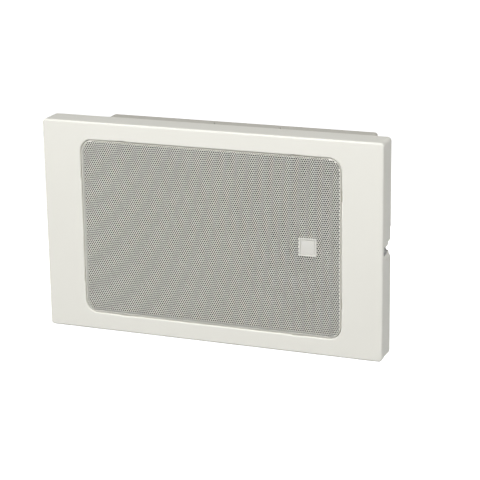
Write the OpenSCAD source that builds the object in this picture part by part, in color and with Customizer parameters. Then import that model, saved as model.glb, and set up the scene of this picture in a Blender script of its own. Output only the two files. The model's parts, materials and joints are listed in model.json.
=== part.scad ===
// Wall loudspeaker: pressed steel front with a perforated grille, a folded steel
// box behind it, a 16 cm cone driver and a line transformer.
// Every piece is drawn lying on its back: x to the right, y up the wall and
// z from the wall towards the listener. The upright module then stands it up.

/* [Overall] */
// Width of the front panel
panel_w = 310; // [300:1:340]
// Height of the front panel
panel_h = 190; // [186:1:220]
// Distance from the wall to the face of the front panel
depth = 87; // [84:1:110]

/* [Front panel] */
// Thickness of the panel's steel sheet
panel_t = 1.2; // [1:0.1:1.6]
// Depth of the flange that runs round the panel
flange_d = 24; // [21:0.5:30]
// Radius of the panel's four corners, seen from the front
panel_corner_r = 3.5; // [3:0.5:8]
// Radius of the rolled front edge
panel_edge_r = 1.8; // [1.7:0.1:2.4]
// Border of the panel to the left and right of the window
window_border_x = 36; // [31:0.5:50]
// Border of the panel above and below the window
window_border_y = 16; // [15:0.5:18]
// Radius of the window's corners
window_r = 11; // [8:0.5:20]
// Radius of the rolled edge of the window
window_edge_r = 1.3; // [1.2:0.1:2]
// Depth of the lip that turns in round the window
lip_d = 4; // [3:0.25:5]

/* [Side fixing] */
// Distance of the side screws behind the panel's face
side_screw_back = 10; // [10:0.25:12]
// Depth of the pressed recess round each side screw
recess_d = 1.7; // [1.6:0.1:2.2]
// Half width of the recess at its floor
recess_floor_r = 4.4; // [4.2:0.1:5.2]
// Half width of the recess at the flange's face
recess_rim_r = 7.2; // [6.8:0.1:8]
// Diameter of the side screws' thread
side_screw_dia = 4; // [3:0.5:4.5]
// Diameter of the side screws' heads
side_head_dia = 7.6; // [7:0.1:8.4]
// Height of the side screws' heads
side_head_h = 1.6; // [1.4:0.1:1.6]

/* [Grille] */
// Thickness of the perforated sheet
grille_t = 0.8; // [0.6:0.1:1]
// Gap between the grille and the window all round
grille_gap = 0.5; // [0.3:0.1:0.8]
// Distance of the grille's face behind the panel's face
grille_back = 0.4; // [0:0.1:0.8]
// Radius of the grille's rolled edge
grille_edge_r = 2.4; // [1.2:0.1:2.8]
// Depth of the grille's folded rim
grille_rim_d = 6; // [5.5:0.25:7]
// Distance between neighbouring holes, five times the real sheet's
hole_pitch = 10; // [9.5:0.25:14]
// Width of a hole across its corners
hole_dia = 6.4; // [4:0.1:7]
// Bare border between the outermost holes and the grille's edge
hole_margin = 3; // [2.4:0.1:4]
// Length of the tabs that hook behind the window's lip
tab_l = 9; // [6:0.5:12]
// Distance of the tabs in the long edges from the middle
tab_x = 80; // [60:1:90]
// Distance of the tabs in the short edges from the middle
tab_y = 47; // [30:1:55]

/* [Badge] */
// Side of the square badge
badge_side = 16; // [12:0.5:20]
// Height of the badge's rim above the grille
badge_h = 1.1; // [0.8:0.1:2]
// Width of the badge's raised rim
badge_rim = 1.2; // [0.8:0.1:2]
// Thickness of the badge's field inside the rim
badge_field_t = 0.6; // [0.4:0.1:0.7]
// Distance of the badge to the right of the middle
badge_x = 89.7; // [60:0.1:95]
// Height of the badge above the middle
badge_y = 0.5; // [-30:0.5:30]
// Distance of the badge's two pins from its left and right sides
badge_pin_inset = 3.2; // [2.4:0.1:5]
// Diameter of the two pins behind the badge
badge_pin_dia = 1.8; // [1.2:0.1:2.4]

/* [Cloth and foam] */
// Thickness of the acoustic cloth behind the grille
cloth_t = 0.5; // [0.3:0.1:1]
// Width of the foam frame between the grille and the baffle
foam_w = 6; // [4:0.5:8]
// Thickness of the foam seal between the box and the baffle
seal_t = 1.4; // [1:0.1:2]

/* [Baffle] */
// Thickness of the baffle plate
baffle_t = 1.6; // [1.2:0.1:2]
// Distance of the baffle's face behind the panel's face
baffle_back = 15; // [14:0.5:17]
// Height of the tabs that take the side screws
side_tab_w = 34; // [24:1:50]
// Depth of the baffle's top and bottom returns
return_d = 8; // [5:0.5:10]
// Gap between the baffle's edges and the panel's flange
baffle_gap = 1.2; // [1:0.1:2]

/* [Back box] */
// Distance of the box's side walls from the panel's sides
box_inset_x = 29.5; // [26:0.5:32]
// Distance of the box's top and bottom from the panel's top and bottom
box_inset_y = 12; // [11.5:0.25:13]
// Thickness of the box's steel sheet
box_t = 1.2; // [1:0.1:1.6]
// Outside radius of the box's bends and corners
box_bend_r = 2.6; // [2.2:0.1:4]
// Width of the flange round the box's mouth
box_flange_w = 9; // [8:0.5:10]
// Distance along the mouth's top and bottom flange from the middle to its screws
mouth_screw_x = 62; // [56:1:70]
// Distance up the mouth's side flanges from the middle to their screws
mouth_screw_y = 63; // [56:1:66]
// Distance between the wall holes, side to side
wall_pitch_x = 200; // [190:1:204]
// Distance between the wall holes, up and down
wall_pitch_y = 120; // [112:1:130]
// Diameter of the wall holes
wall_hole_dia = 5.2; // [4.2:0.1:6.5]
// Diameter of the two knockouts in the top of the box
knockout_dia = 20; // [16:0.5:24]
// Distance between the knockouts
knockout_pitch = 62; // [50:1:90]
// Distance of the knockouts from the wall
knockout_z = 16; // [14:0.5:20]
// Diameter of the cable hole in the back of the box
cable_hole_dia = 20; // [14:0.5:22]
// Diameter of the opening in the cable grommet
grommet_bore = 12; // [8:0.5:13]
// Distance of the cable hole to the right of the middle
cable_hole_x = 64; // [62:0.5:68]
// Distance of the cable hole below the middle
cable_hole_drop = 56; // [52:0.5:60]
// Height of the pressed pads that carry the parts inside
pad_h = 3.5; // [3:0.25:5]
// Thickness of the felt on the box's back
felt_t = 8; // [5:0.5:10]
// Gap between the felt and the transformer's bracket
felt_gap = 12; // [8:0.5:16]

/* [Driver] */
// Outer radius of the driver's basket
basket_r = 80; // [78:0.5:82]
// Thickness of the basket's sheet
basket_t = 1; // [0.8:0.1:1.2]
// Radius of the hole in the baffle
cutout_r = 71.4; // [71:0.1:72]
// Outer radius of the basket where it passes through the baffle
basket_neck_r = 70.4; // [69.5:0.1:70.8]
// Radius of the circle of the driver's screws
driver_screw_r = 76; // [75.6:0.1:76.4]
// Height of the basket from its seat on the magnet to the baffle
basket_h = 35; // [33:0.5:36]
// Height of the shelf for the spider above the basket's seat
shelf_h = 8; // [6:0.5:9]
// Number of spokes in the basket
spokes = 6; // [4:2:8]
// Width of each spoke, in degrees
spoke_deg = 18; // [14:1:24]
// Depth of the cone
cone_h = 22; // [19:0.5:23]
// Thickness of the cone's paper
cone_t = 0.7; // [0.5:0.1:1]
// Outer radius of the surround
surround_r = 71; // [70:0.1:71.4]
// Radius of the surround's half roll
roll_r = 4; // [3:0.25:4.5]
// Thickness of the surround
surround_t = 0.5; // [0.4:0.1:0.8]
// Thickness of the rim gasket
gasket_t = 3; // [2:0.5:4]
// Radius of the dust cap
cap_r = 17; // [15:0.5:20]
// Height of the dust cap's dome
cap_h = 4.5; // [3:0.5:6]
// Inner radius of the voice coil's former
former_r = 12.7; // [12.5:0.1:13.5]
// Thickness of the former
former_t = 0.3; // [0.2:0.05:0.4]
// Thickness of the winding
winding_t = 0.5; // [0.4:0.1:0.8]
// Length of the winding
winding_l = 8; // [6:0.5:9]
// Number of rings pressed into the spider
spider_rings = 5; // [3:1:6]
// Radius of the ferrite magnet
magnet_r = 40; // [36:0.5:42]
// Thickness of the ferrite magnet
magnet_t = 13; // [12:0.5:14]
// Thickness of the steel plates on both sides of the magnet
iron_t = 5; // [4:0.5:5]
// Radius of those steel plates
iron_r = 38; // [34:0.5:39]

/* [Transformer and terminals] */
// Gap between the transformer's bracket and the right side of the box
gear_gap = 2.3; // [1:0.1:5]
// Height of the transformer above the middle
transformer_y = 30; // [28:0.5:34]
// Width of the transformer's core
core_w = 41; // [38:0.5:42]
// Height of the transformer's core
core_h = 34; // [30:0.5:36]
// Thickness of the core's stack
core_stack = 16; // [12:0.5:20]
// Distance of the terminal block below the middle
block_drop = 22; // [20:0.5:24]
// Length of the terminal block
block_l = 56; // [54:0.5:58]
// Width of the terminal block
block_w = 20; // [16:0.5:22]
// Height of the terminal block's base
block_h = 6; // [5:0.5:8]
// Number of terminals
terminals = 4; // [2:1:4]
// Distance between the terminals
terminal_pitch = 10; // [9:0.5:10.5]
// Diameter of the hook-up wires
wire_dia = 1.8; // [1.2:0.1:2.2]

/* [Hidden] */
// Fits and clearances
thread_gap = 0.05;   // between a screw and its thread
glue_gap = 0.05;     // between round pieces that are glued
slide_gap = 0.4;     // between the voice coil and the iron
screw_play = 0.25;   // between a screw and a plain hole
small_screw_dia = 3;
small_head_dia = 5.6;
small_head_h = 1.8;
thread_tail = 5;     // of a screw past the sheet that it holds
terminal_tail = 4;   // of a terminal's screw below its plate
driver_screw_dia = 3.5;
driver_head_dia = 6.6;
driver_head_h = 2.2;

// Levels above the wall
panel_back_z = depth - flange_d;
grille_z = depth - grille_back;
grille_under_z = grille_z - grille_t;
baffle_z = depth - baffle_back;
baffle_back_z = baffle_z - baffle_t;
box_mouth_z = baffle_back_z - seal_t;
side_screw_z = depth - side_screw_back;
pad_z = box_t + pad_h;
pad_floor_z = box_t + 0.4;
pad_r = 4.2;
nick_d = 0.5;

// Outlines that follow from the panel and the box
window_w = panel_w - 2 * window_border_x;
window_h = panel_h - 2 * window_border_y;
box_w = panel_w - 2 * box_inset_x;
box_h = panel_h - 2 * box_inset_y;
recess_floor_x = panel_w / 2 - recess_d;
side_tab_x = recess_floor_x - panel_t;
baffle_w = 2 * side_tab_x;
baffle_h = panel_h - 2 * (panel_t + baffle_gap);
grille_w = window_w - 2 * grille_gap;
grille_h = window_h - 2 * grille_gap;
grille_r = window_r - grille_gap;
tab_reach = grille_gap + panel_t + 2;
mouth_w = box_w + 2 * box_flange_w;
mouth_h = box_h + 2 * box_flange_w;
flange_mid_x = (box_w + box_flange_w) / 2;
flange_mid_y = (box_h + box_flange_w) / 2;
badge_pin_x = badge_side / 2 - badge_pin_inset;

// Levels and radii in the driver
seat_z = baffle_z - basket_h;
shelf_z = seat_z + shelf_h;
shelf_w = 6.5;
shelf_in_r = magnet_r + 1.5;
shelf_r = shelf_in_r + shelf_w;
rim_z = baffle_z + basket_t;
former_out_r = former_r + former_t;
pole_r = former_r - slide_gap;
gap_r = former_out_r + winding_t + slide_gap;
magnet_in_r = gap_r + 6;
yoke_z = seat_z - 2 * iron_t - magnet_t;
gap_mid_z = seat_z - iron_t / 2;
former_bottom_z = gap_mid_z - winding_l / 2 - 2;
cone_rim_w = 3;
land_w = 6;
cone_top_z = rim_z;
cone_neck_z = cone_top_z - cone_h;
cone_neck_r = former_out_r + glue_gap;
cone_neck_l = 2;
roll_in_r = surround_r - land_w - 2 * roll_r;
spider_z = shelf_z + basket_t;
tongue_l = 15;
tongue_w = 20;
lug_x = 6;
strip_t = 1.6;
strip_x = shelf_r + 3.5;
strip_l = tongue_l - 4;
lug_end = strip_x + strip_l + 4;
lug_t = 0.5;

// Levels and places of the transformer and the terminal block
ear_reach = core_w / 2 + 9.5;
gear_x = box_w / 2 - box_t - gear_gap - ear_reach;
ear_hole_x = core_w / 2 + 5.5;
strap_t = 1;
strap_w = core_stack - 4;
leg_w = core_w / 6;
coil_bulge = 6;
coil_gap = 0.2;
block_hole_x = block_l / 2 - 4;
fin_h = 5;
fin_t = 1.6;
plate_t = 0.8;

$fn = 64;

// Shapes shared by several pieces

// Stands the model up: the wall becomes the plane y = 0 and the face looks along -y
module upright() rotate([90, 0, 0]) children();

// A rectangle with round corners, centred
module rounded_rect(w, h, r) {
    square([w - 2 * r, h], center = true);
    square([w, h - 2 * r], center = true);
    for (x = [-1, 1], y = [-1, 1]) translate([x * (w / 2 - r), y * (h / 2 - r)]) circle(r);
}

// A flat frame of one outline with another cut out of it
module flat_frame(w, h, r, in_w, in_h, in_r, t) {
    linear_extrude(t) difference() {
        rounded_rect(w, h, r);
        rounded_rect(in_w, in_h, in_r);
    }
}

// Carries a profile round a rectangle with corners of radius r. The profile's x is
// the distance from the corner's centre and its y the height above the wall.
module swept_rim(w, h, r) {
    for (i = [0 : 3]) {
        half = (i % 2 == 0 ? w : h) / 2 - r;
        run = (i % 2 == 0 ? h : w) - 2 * r;
        rotate([0, 0, 90 * i]) {
            translate([half, 0, 0]) rotate([90, 0, 0])
                linear_extrude(run, center = true) children(0);
            translate([half, run / 2, 0]) rotate_extrude(angle = 90) children(0);
        }
    }
}

// A band of height h whose outer top corner is round
module rolled_corner(out, low, high, r) {
    translate([0, low]) square([out, high - r - low]);
    translate([0, low]) square([out - r, high - low]);
    translate([out - r, high - r]) circle(r);
}

// A bent sheet: a wall that turns over into a flat plate through a rolled corner
module bend_profile(out, low, high, r, t) {
    difference() {
        intersection() {
            rolled_corner(out, low, high, r);
            translate([0, low]) square([out, high - low]);
        }
        translate([0, low - 1]) intersection() {
            rolled_corner(out - t, 0, high - t - low + 1, max(r - t, 0.2));
            square([out - t, high]);
        }
    }
}

// A pan head screw whose head rests on z = 0 and whose thread points down
module pan_screw(dia, length, head_dia, head_h) {
    difference() {
        union() {
            cylinder(h = head_h * 0.55, r = head_dia / 2);
            translate([0, 0, head_h * 0.55])
                cylinder(h = head_h * 0.45, r1 = head_dia / 2, r2 = head_dia * 0.33);
            translate([0, 0, -length]) cylinder(h = length, r = dia / 2);
        }
        for (a = [0, 90]) rotate([0, 0, a]) translate([0, 0, head_h])
            cube([head_dia * 0.56, head_dia * 0.14, head_h], center = true);
    }
}

// A ring of height h
module ring(out_r, in_r, h) {
    difference() {
        cylinder(h = h, r = out_r);
        translate([0, 0, -1]) cylinder(h = h + 2, r = in_r);
    }
}

// Points of a cubic curve through four control points
function curve(a, b, c, d, n) = [for (i = [0 : n]) let (t = i / n, s = 1 - t)
    s * s * s * a + 3 * s * s * t * b + 3 * s * t * t * c + t * t * t * d];

// A round wire along a list of points, as one closed surface
module wire(path, dia, sides = 8) {
    n = len(path);
    ring_at = [for (i = [0 : n - 1])
        let (along = path[min(i + 1, n - 1)] - path[max(i - 1, 0)],
             t = along / norm(along),
             u = cross(t, [0.1, 0.2, 1]), ux = u / norm(u), uy = cross(t, ux))
        for (k = [0 : sides - 1])
            path[i] + dia / 2 * (cos(360 * k / sides) * ux + sin(360 * k / sides) * uy)];
    walls = [for (i = [0 : n - 2], k = [0 : sides - 1])
        let (j = (k + 1) % sides)
        [i * sides + k, i * sides + j, (i + 1) * sides + j, (i + 1) * sides + k]];
    ends = [[for (k = [sides - 1 : -1 : 0]) k],
            [for (k = [0 : sides - 1]) (n - 1) * sides + k]];
    polyhedron(ring_at, concat([for (f = walls) [f[3], f[2], f[1], f[0]]],
                               [for (f = ends) [for (k = [len(f) - 1 : -1 : 0]) f[k]]]));
}

// Places its child at the four corners of a rectangle
module at_corners(w, h) for (x = [-1, 1], y = [-1, 1]) translate([x * w / 2, y * h / 2, 0])
    children();

// Places its child at each of the grille's tabs, with x along the edge and y outwards
module at_tabs() {
    for (x = [-tab_x, tab_x]) {
        translate([x, window_h / 2, 0]) children();
        translate([x, -window_h / 2, 0]) rotate([0, 0, 180]) children();
    }
    for (y = [-tab_y, tab_y]) {
        translate([window_w / 2, y, 0]) rotate([0, 0, -90]) children();
        translate([-window_w / 2, y, 0]) rotate([0, 0, 90]) children();
    }
}

// Places its child at both side screws, with z outwards through the flange's face
module at_side_screws() for (s = [-1, 1])
    translate([s * recess_floor_x, 0, side_screw_z]) rotate([0, s * 90, 0]) children();

// Places of the screws that hold the baffle to the box
module at_baffle_screws() {
    at_corners(2 * flange_mid_x, 2 * mouth_screw_y) children();
    at_corners(2 * mouth_screw_x, 2 * flange_mid_y) children();
}

// Places of the driver's four screws
module at_driver_screws() for (a = [45 : 90 : 315]) rotate([0, 0, a])
    translate([driver_screw_r, 0, 0]) children();

// Places of the pads for the transformer's bracket and the terminal block
module at_bracket_pads() for (s = [-1, 1])
    translate([gear_x + s * ear_hole_x, transformer_y, 0]) children();
module at_block_pads() for (s = [-1, 1])
    translate([gear_x + s * block_hole_x, -block_drop, 0]) children();

// Front panel and grille

// The pressed recess for a side screw, open towards the panel's back edge; grow
// moves its sides outwards by the thickness of the sheet
module side_recess(depth_in, grow) {
    run = side_screw_z - panel_back_z;
    floor_r = recess_floor_r + grow;
    rim_r = recess_rim_r + grow;
    // the round end, towards the panel's face
    cylinder(h = depth_in, r1 = floor_r, r2 = rim_r);
    // the straight part
    rotate([0, 90, 0]) linear_extrude(run)
        polygon([[0, -floor_r], [0, floor_r], [-depth_in, rim_r], [-depth_in, -rim_r]]);
}

module at_recess(s) translate([s * recess_floor_x, 0, side_screw_z])
    rotate([0, s * 90, 0]) rotate([0, 0, s > 0 ? 0 : 180]) children();

module front_panel() color([0.91, 0.905, 0.87]) upright() {
    lip_pad = window_edge_r + 2;
    difference() {
        union() {
            // the flat face between the rolled rim and the window
            translate([0, 0, depth - panel_t]) linear_extrude(panel_t) difference() {
                square([panel_w - 2 * panel_corner_r, panel_h - 2 * panel_corner_r],
                       center = true);
                rounded_rect(window_w + 2 * lip_pad, window_h + 2 * lip_pad,
                             window_r + lip_pad);
            }
            // the rolled edge and the flange behind it
            swept_rim(panel_w, panel_h, panel_corner_r)
                bend_profile(panel_corner_r, panel_back_z, depth, panel_edge_r, panel_t);
            // the lip round the window
            swept_rim(window_w, window_h, window_r) difference() {
                union() {
                    translate([window_r, depth - lip_d]) square([panel_t, lip_d]);
                    translate([window_r, depth - panel_t]) square([lip_pad, panel_t]);
                }
                difference() {
                    translate([window_r - 1, depth - window_edge_r])
                        square([window_edge_r + 1, window_edge_r + 1]);
                    translate([window_r + window_edge_r, depth - window_edge_r])
                        circle(window_edge_r);
                    translate([window_r + window_edge_r, depth - window_edge_r])
                        square(window_edge_r + 1);
                }
            }
            // the sheet pressed in behind the side screws
            for (s = [-1, 1]) at_recess(s) translate([0, 0, -panel_t]) intersection() {
                side_recess(recess_d + panel_t / 2, panel_t * 0.8);
                translate([-recess_rim_r - panel_t, -panel_h / 4, 0])
                    cube([flange_d, panel_h / 2, recess_d + panel_t / 2]);
            }
        }
        for (s = [-1, 1]) at_recess(s) {
            side_recess(recess_d + 0.01, 0);
            // the slot that drops over the screw's thread
            translate([0, 0, -panel_t - 1]) {
                cylinder(h = panel_t + 2, r = side_screw_dia / 2 + screw_play);
                translate([0, -side_screw_dia / 2 - screw_play, 0])
                    cube([flange_d, side_screw_dia + 2 * screw_play, panel_t + 2]);
            }
        }
        // small nicks in the window's edge in front of the grille's tabs
        at_tabs() translate([-tab_l / 2, -1, depth - lip_d - 1])
            cube([tab_l, 1 + nick_d, lip_d + 2]);
    }
}

// One row of holes that keeps clear of the grille's edge and of the badge
module hole_row(y, shift) {
    rim = hole_margin + hole_dia / 2;
    half_w = grille_w / 2 - rim;
    corner_r = grille_r - hole_margin;
    over = max(0, abs(y) - (grille_h / 2 - hole_margin - corner_r));
    inset = corner_r - sqrt(max(0, corner_r * corner_r - over * over));
    clear = badge_side / 2 + hole_dia / 2 + 0.4;
    for (i = [-ceil(half_w / hole_pitch) : ceil(half_w / hole_pitch)]) {
        x = (i + shift) * hole_pitch;
        if (abs(x) <= half_w - inset && (abs(x - badge_x) > clear || abs(y - badge_y) > clear))
            translate([x, y]) rotate(30) circle(d = hole_dia, $fn = 6);
    }
}

module grille_holes() {
    row_h = hole_pitch * sqrt(3) / 2;
    rows = floor((grille_h / 2 - hole_margin - hole_dia / 2) / row_h);
    for (j = [-rows : rows]) hole_row(j * row_h, j % 2 == 0 ? 0 : 0.5);
}

module grille() color([0.83, 0.825, 0.79]) upright() {
    // the perforated face
    translate([0, 0, grille_under_z]) linear_extrude(grille_t) difference() {
        rounded_rect(grille_w - 2 * grille_edge_r, grille_h - 2 * grille_edge_r,
                     grille_r - grille_edge_r);
        grille_holes();
        for (s = [-1, 1]) translate([badge_x + s * badge_pin_x, badge_y])
            circle(badge_pin_dia / 2 + glue_gap, $fn = 24);
    }
    // the rolled edge and the folded rim
    swept_rim(grille_w, grille_h, grille_r) intersection() {
        bend_profile(grille_r, grille_z - grille_rim_d, grille_z, grille_edge_r, grille_t);
        translate([grille_r - grille_edge_r - 0.01, grille_z - grille_rim_d])
            square([grille_edge_r + 0.01, grille_rim_d]);
    }
    // the tabs bent out behind the window's lip
    at_tabs() translate([-tab_l / 2 + 0.5, -grille_gap - grille_t / 2, depth - lip_d - grille_t])
        cube([tab_l - 1, grille_t / 2 + tab_reach, grille_t]);
}

module badge() color([0.9, 0.9, 0.87]) upright() translate([badge_x, badge_y, grille_z]) {
    in_side = badge_side - 2 * badge_rim;
    linear_extrude(badge_field_t) square(badge_side, center = true);
    translate([0, 0, badge_field_t]) linear_extrude(badge_h - badge_field_t) difference() {
        square(badge_side, center = true);
        square(in_side, center = true);
    }
    for (s = [-1, 1]) translate([s * badge_pin_x, 0, -grille_t])
        cylinder(h = grille_t + badge_field_t / 2, r = badge_pin_dia / 2);
}

module acoustic_cloth() color([0.16, 0.16, 0.155]) upright() {
    edge = grille_edge_r + 0.2;
    translate([0, 0, grille_under_z - cloth_t]) linear_extrude(cloth_t)
        rounded_rect(grille_w - 2 * edge, grille_h - 2 * edge, grille_r - edge);
}

module foam_frame() color([0.25, 0.25, 0.26]) upright() {
    out_w = grille_w + 2 * grille_t;
    out_h = grille_h + 2 * grille_t;
    difference() {
        translate([0, 0, baffle_z])
            flat_frame(out_w, out_h, grille_r + grille_t, out_w - 2 * foam_w, out_h - 2 * foam_w,
                       max(grille_r + grille_t - foam_w, 2), grille_z - grille_rim_d - baffle_z);
        // the foam steps up over the driver's rim, and bridges the surround and its gasket
        translate([0, 0, baffle_z - 1]) cylinder(h = basket_t + 1, r = basket_r + 0.3, $fn = 128);
        translate([0, 0, baffle_z - 1])
            cylinder(h = 1.5 + basket_t + max(roll_r, surround_t + gasket_t),
                     r = surround_r + 0.5, $fn = 128);
    }
}

module side_screws() color([0.72, 0.72, 0.7]) upright() at_side_screws()
    pan_screw(side_screw_dia, panel_t + baffle_t + thread_tail, side_head_dia, side_head_h);

// Baffle and box

module baffle_plate() color([0.2, 0.2, 0.21]) upright() {
    bush_h = 3;
    difference() {
        union() {
            translate([0, 0, baffle_back_z]) linear_extrude(baffle_t)
                square([baffle_w, baffle_h], center = true);
            // stiffening returns along the top and bottom edges
            for (s = [-1, 1]) translate([-baffle_w / 2 + 6,
                    s * (baffle_h / 2 - baffle_t / 2) - baffle_t / 2, baffle_back_z])
                cube([baffle_w - 12, baffle_t, baffle_t + return_d]);
            // side tabs with threaded bushes
            for (s = [-1, 1]) translate([s * (side_tab_x - baffle_t / 2), 0, 0]) {
                tab_top_z = depth - panel_t - 1.5;
                translate([0, 0, (baffle_back_z + tab_top_z) / 2])
                    cube([baffle_t, side_tab_w, tab_top_z - baffle_back_z], center = true);
                translate([-s * baffle_t / 2, 0, side_screw_z]) rotate([0, -s * 90, 0])
                    cylinder(h = bush_h, r = side_screw_dia);
            }
        }
        translate([0, 0, baffle_back_z - 1]) cylinder(h = baffle_t + 2, r = cutout_r, $fn = 128);
        at_side_screws() translate([0, 0, -recess_floor_r - 6])
            cylinder(h = recess_floor_r + 8, r = side_screw_dia / 2 + thread_gap);
        at_baffle_screws() translate([0, 0, baffle_back_z - 1])
            cylinder(h = baffle_t + 2, r = small_screw_dia / 2 + screw_play);
        at_driver_screws() translate([0, 0, baffle_back_z - 1])
            cylinder(h = baffle_t + 2, r = driver_screw_dia / 2 + thread_gap);
    }
}

module box_seal() color([0.3, 0.3, 0.3]) upright() difference() {
    translate([0, 0, box_mouth_z])
        flat_frame(mouth_w, mouth_h, box_bend_r, box_w, box_h, box_bend_r, seal_t);
    at_baffle_screws() translate([0, 0, box_mouth_z - 1])
        cylinder(h = seal_t + 2, r = small_screw_dia / 2 + screw_play);
}

module baffle_screws() color([0.75, 0.75, 0.74]) upright() at_baffle_screws()
    translate([0, 0, baffle_z])
        pan_screw(small_screw_dia, baffle_t + seal_t + box_t + thread_tail, small_head_dia,
                  small_head_h);

// A pressed pad on the box's back, and the blind pilot hole in it
module pad() cylinder(h = pad_z, r1 = pad_r + pad_h / 3, r2 = pad_r);
module pad_pilot() translate([0, 0, pad_floor_z])
    cylinder(h = pad_h + 1, r = small_screw_dia / 2 + thread_gap);

// A knockout: a disc held in its hole by two small bridges and pressed slightly proud
module knockout_cut() difference() {
    cylinder(h = 3 * box_t, r = knockout_dia / 2, center = true);
    cylinder(h = 4 * box_t, r = knockout_dia / 2 - 0.7, center = true);
    cube([knockout_dia + 2, 2.4, 4 * box_t], center = true);
}

module at_knockouts() for (s = [-1, 1])
    translate([s * knockout_pitch / 2, box_h / 2 - box_t / 2, knockout_z])
        rotate([90, 0, 0]) children();

module back_box() color([0.8, 0.795, 0.765]) upright() {
    relief = box_bend_r + 1.2;
    difference() {
        union() {
            // the back, the four walls and the bends between them
            linear_extrude(box_t)
                square([box_w - 2 * box_bend_r, box_h - 2 * box_bend_r], center = true);
            swept_rim(box_w, box_h, box_bend_r) {
                translate([0, box_mouth_z]) mirror([0, 1])
                    bend_profile(box_bend_r, 0, box_mouth_z, box_bend_r - 0.05, box_t);
            }
            // the flange round the mouth
            translate([0, 0, box_mouth_z - box_t])
                flat_frame(mouth_w, mouth_h, box_bend_r, box_w - 2 * box_t, box_h - 2 * box_t,
                           box_bend_r - box_t, box_t);
            at_bracket_pads() pad();
            at_block_pads() pad();
            // the knockout discs stand a little proud
            at_knockouts() translate([0, 0, -box_t / 2 - 0.4])
                cylinder(h = box_t, r = knockout_dia / 2 - 0.9);
            // bushes under the flange for the baffle's screws
            at_baffle_screws() translate([0, 0, box_mouth_z - box_t - 3])
                cylinder(h = 3.2, r = small_screw_dia / 2 + 1.2);
        }
        at_bracket_pads() pad_pilot();
        at_block_pads() pad_pilot();
        at_baffle_screws() translate([0, 0, box_mouth_z - box_t - 4])
            cylinder(h = box_t + 5, r = small_screw_dia / 2 + thread_gap);
        at_corners(wall_pitch_x, wall_pitch_y) translate([0, 0, -1])
            cylinder(h = box_t + 2, r = wall_hole_dia / 2);
        translate([cable_hole_x, -cable_hole_drop, -1])
            cylinder(h = box_t + 2, r = cable_hole_dia / 2);
        at_knockouts() knockout_cut();
        // reliefs where the folds meet at the back corners
        at_corners(box_w, box_h) translate([0, 0, -0.5])
            cube([2 * relief, 2 * relief, 2.2], center = true);
    }
}

module cable_grommet() color([0.12, 0.12, 0.12]) upright()
    translate([cable_hole_x, -cable_hole_drop, 0]) difference() {
        union() {
            cylinder(h = box_t + 2.4, r = cable_hole_dia / 2 - glue_gap);
            translate([0, 0, box_t]) cylinder(h = 2.4, r = cable_hole_dia / 2 + 2);
        }
        translate([0, 0, -1]) cylinder(h = box_t + 5, r = grommet_bore / 2);
    }

module damping_felt() color([0.55, 0.53, 0.47]) upright() {
    left = box_w / 2 - box_t - 6;
    right = gear_x - ear_reach - felt_gap;
    top = box_h / 2 - box_t - 4;
    difference() {
        translate([-left, -top, box_t]) cube([left + right, 2 * top, felt_t]);
        translate([0, 0, box_t - 1]) cylinder(h = felt_t + 2, r = magnet_r + 4, $fn = 128);
        at_corners(wall_pitch_x, wall_pitch_y) translate([0, 0, box_t - 1])
            cylinder(h = felt_t + 2, r = wall_hole_dia / 2 + 6);
    }
}

// Driver

module driver_basket() color([0.33, 0.33, 0.34]) upright() {
    seat_in_r = gap_r + 5;
    slope = shelf_r + 0.6;
    difference() {
        union() {
            rotate_extrude($fn = 128) polygon([
                [seat_in_r, seat_z], [magnet_r, seat_z], [shelf_in_r, shelf_z],
                [slope, shelf_z], [basket_neck_r - 2, baffle_z - 5.4],
                [basket_neck_r, baffle_z], [basket_r, baffle_z], [basket_r, rim_z],
                [basket_neck_r - basket_t, rim_z],
                [basket_neck_r - 2 - basket_t, baffle_z - 4.8],
                [shelf_r - 0.2, shelf_z + basket_t], [shelf_in_r - 0.9, shelf_z + basket_t],
                [magnet_r - 0.8, seat_z + basket_t], [seat_in_r, seat_z + basket_t]]);
        }
        // the windows between the spokes
        for (i = [0 : spokes - 1]) rotate([0, 0, i * 360 / spokes]) basket_window();
        at_driver_screws() translate([0, 0, baffle_z - 1])
            cylinder(h = basket_t + 2, r = driver_screw_dia / 2 + screw_play);
    }
    // the tongue that carries the terminal strip, and its root on the shelf
    translate([shelf_r - 3, -tongue_w / 2, shelf_z]) cube([tongue_l + 3, tongue_w, basket_t]);
}

// A window in the basket's sloping wall
module basket_window() {
    half = 180 / spokes - spoke_deg / 2;
    far = 2 * basket_neck_r;
    intersection() {
        translate([0, 0, shelf_z - 1]) ring(basket_neck_r - 3.5, shelf_r + 1.6, baffle_z - shelf_z);
        translate([0, 0, shelf_z - 2]) linear_extrude(baffle_z - shelf_z + 4)
            polygon([[0, 0], far * [cos(half), -sin(half)], far * [1, 0],
                     far * [cos(half), sin(half)]]);
    }
}

module driver_screws() color([0.7, 0.68, 0.55]) upright() at_driver_screws()
    translate([0, 0, rim_z])
        pan_screw(driver_screw_dia, basket_t + baffle_t + thread_tail, driver_head_dia,
                  driver_head_h);

module rim_gasket() color([0.22, 0.22, 0.22]) upright()
    translate([0, 0, rim_z + surround_t]) ring(surround_r, surround_r - land_w + 1, gasket_t);

module surround() color([0.1, 0.1, 0.1]) upright() {
    roll_mid = surround_r - land_w - roll_r;
    rotate_extrude($fn = 96) {
        // the outer and inner lands
        translate([surround_r - land_w - surround_t, rim_z])
            square([land_w + surround_t, surround_t]);
        translate([roll_in_r - cone_rim_w, rim_z]) square([cone_rim_w + surround_t, surround_t]);
        // the half roll
        translate([roll_mid, rim_z]) difference() {
            circle(roll_r);
            circle(roll_r - surround_t);
            translate([-2 * roll_r, -2 * roll_r]) square([4 * roll_r, 2 * roll_r]);
        }
    }
}

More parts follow.
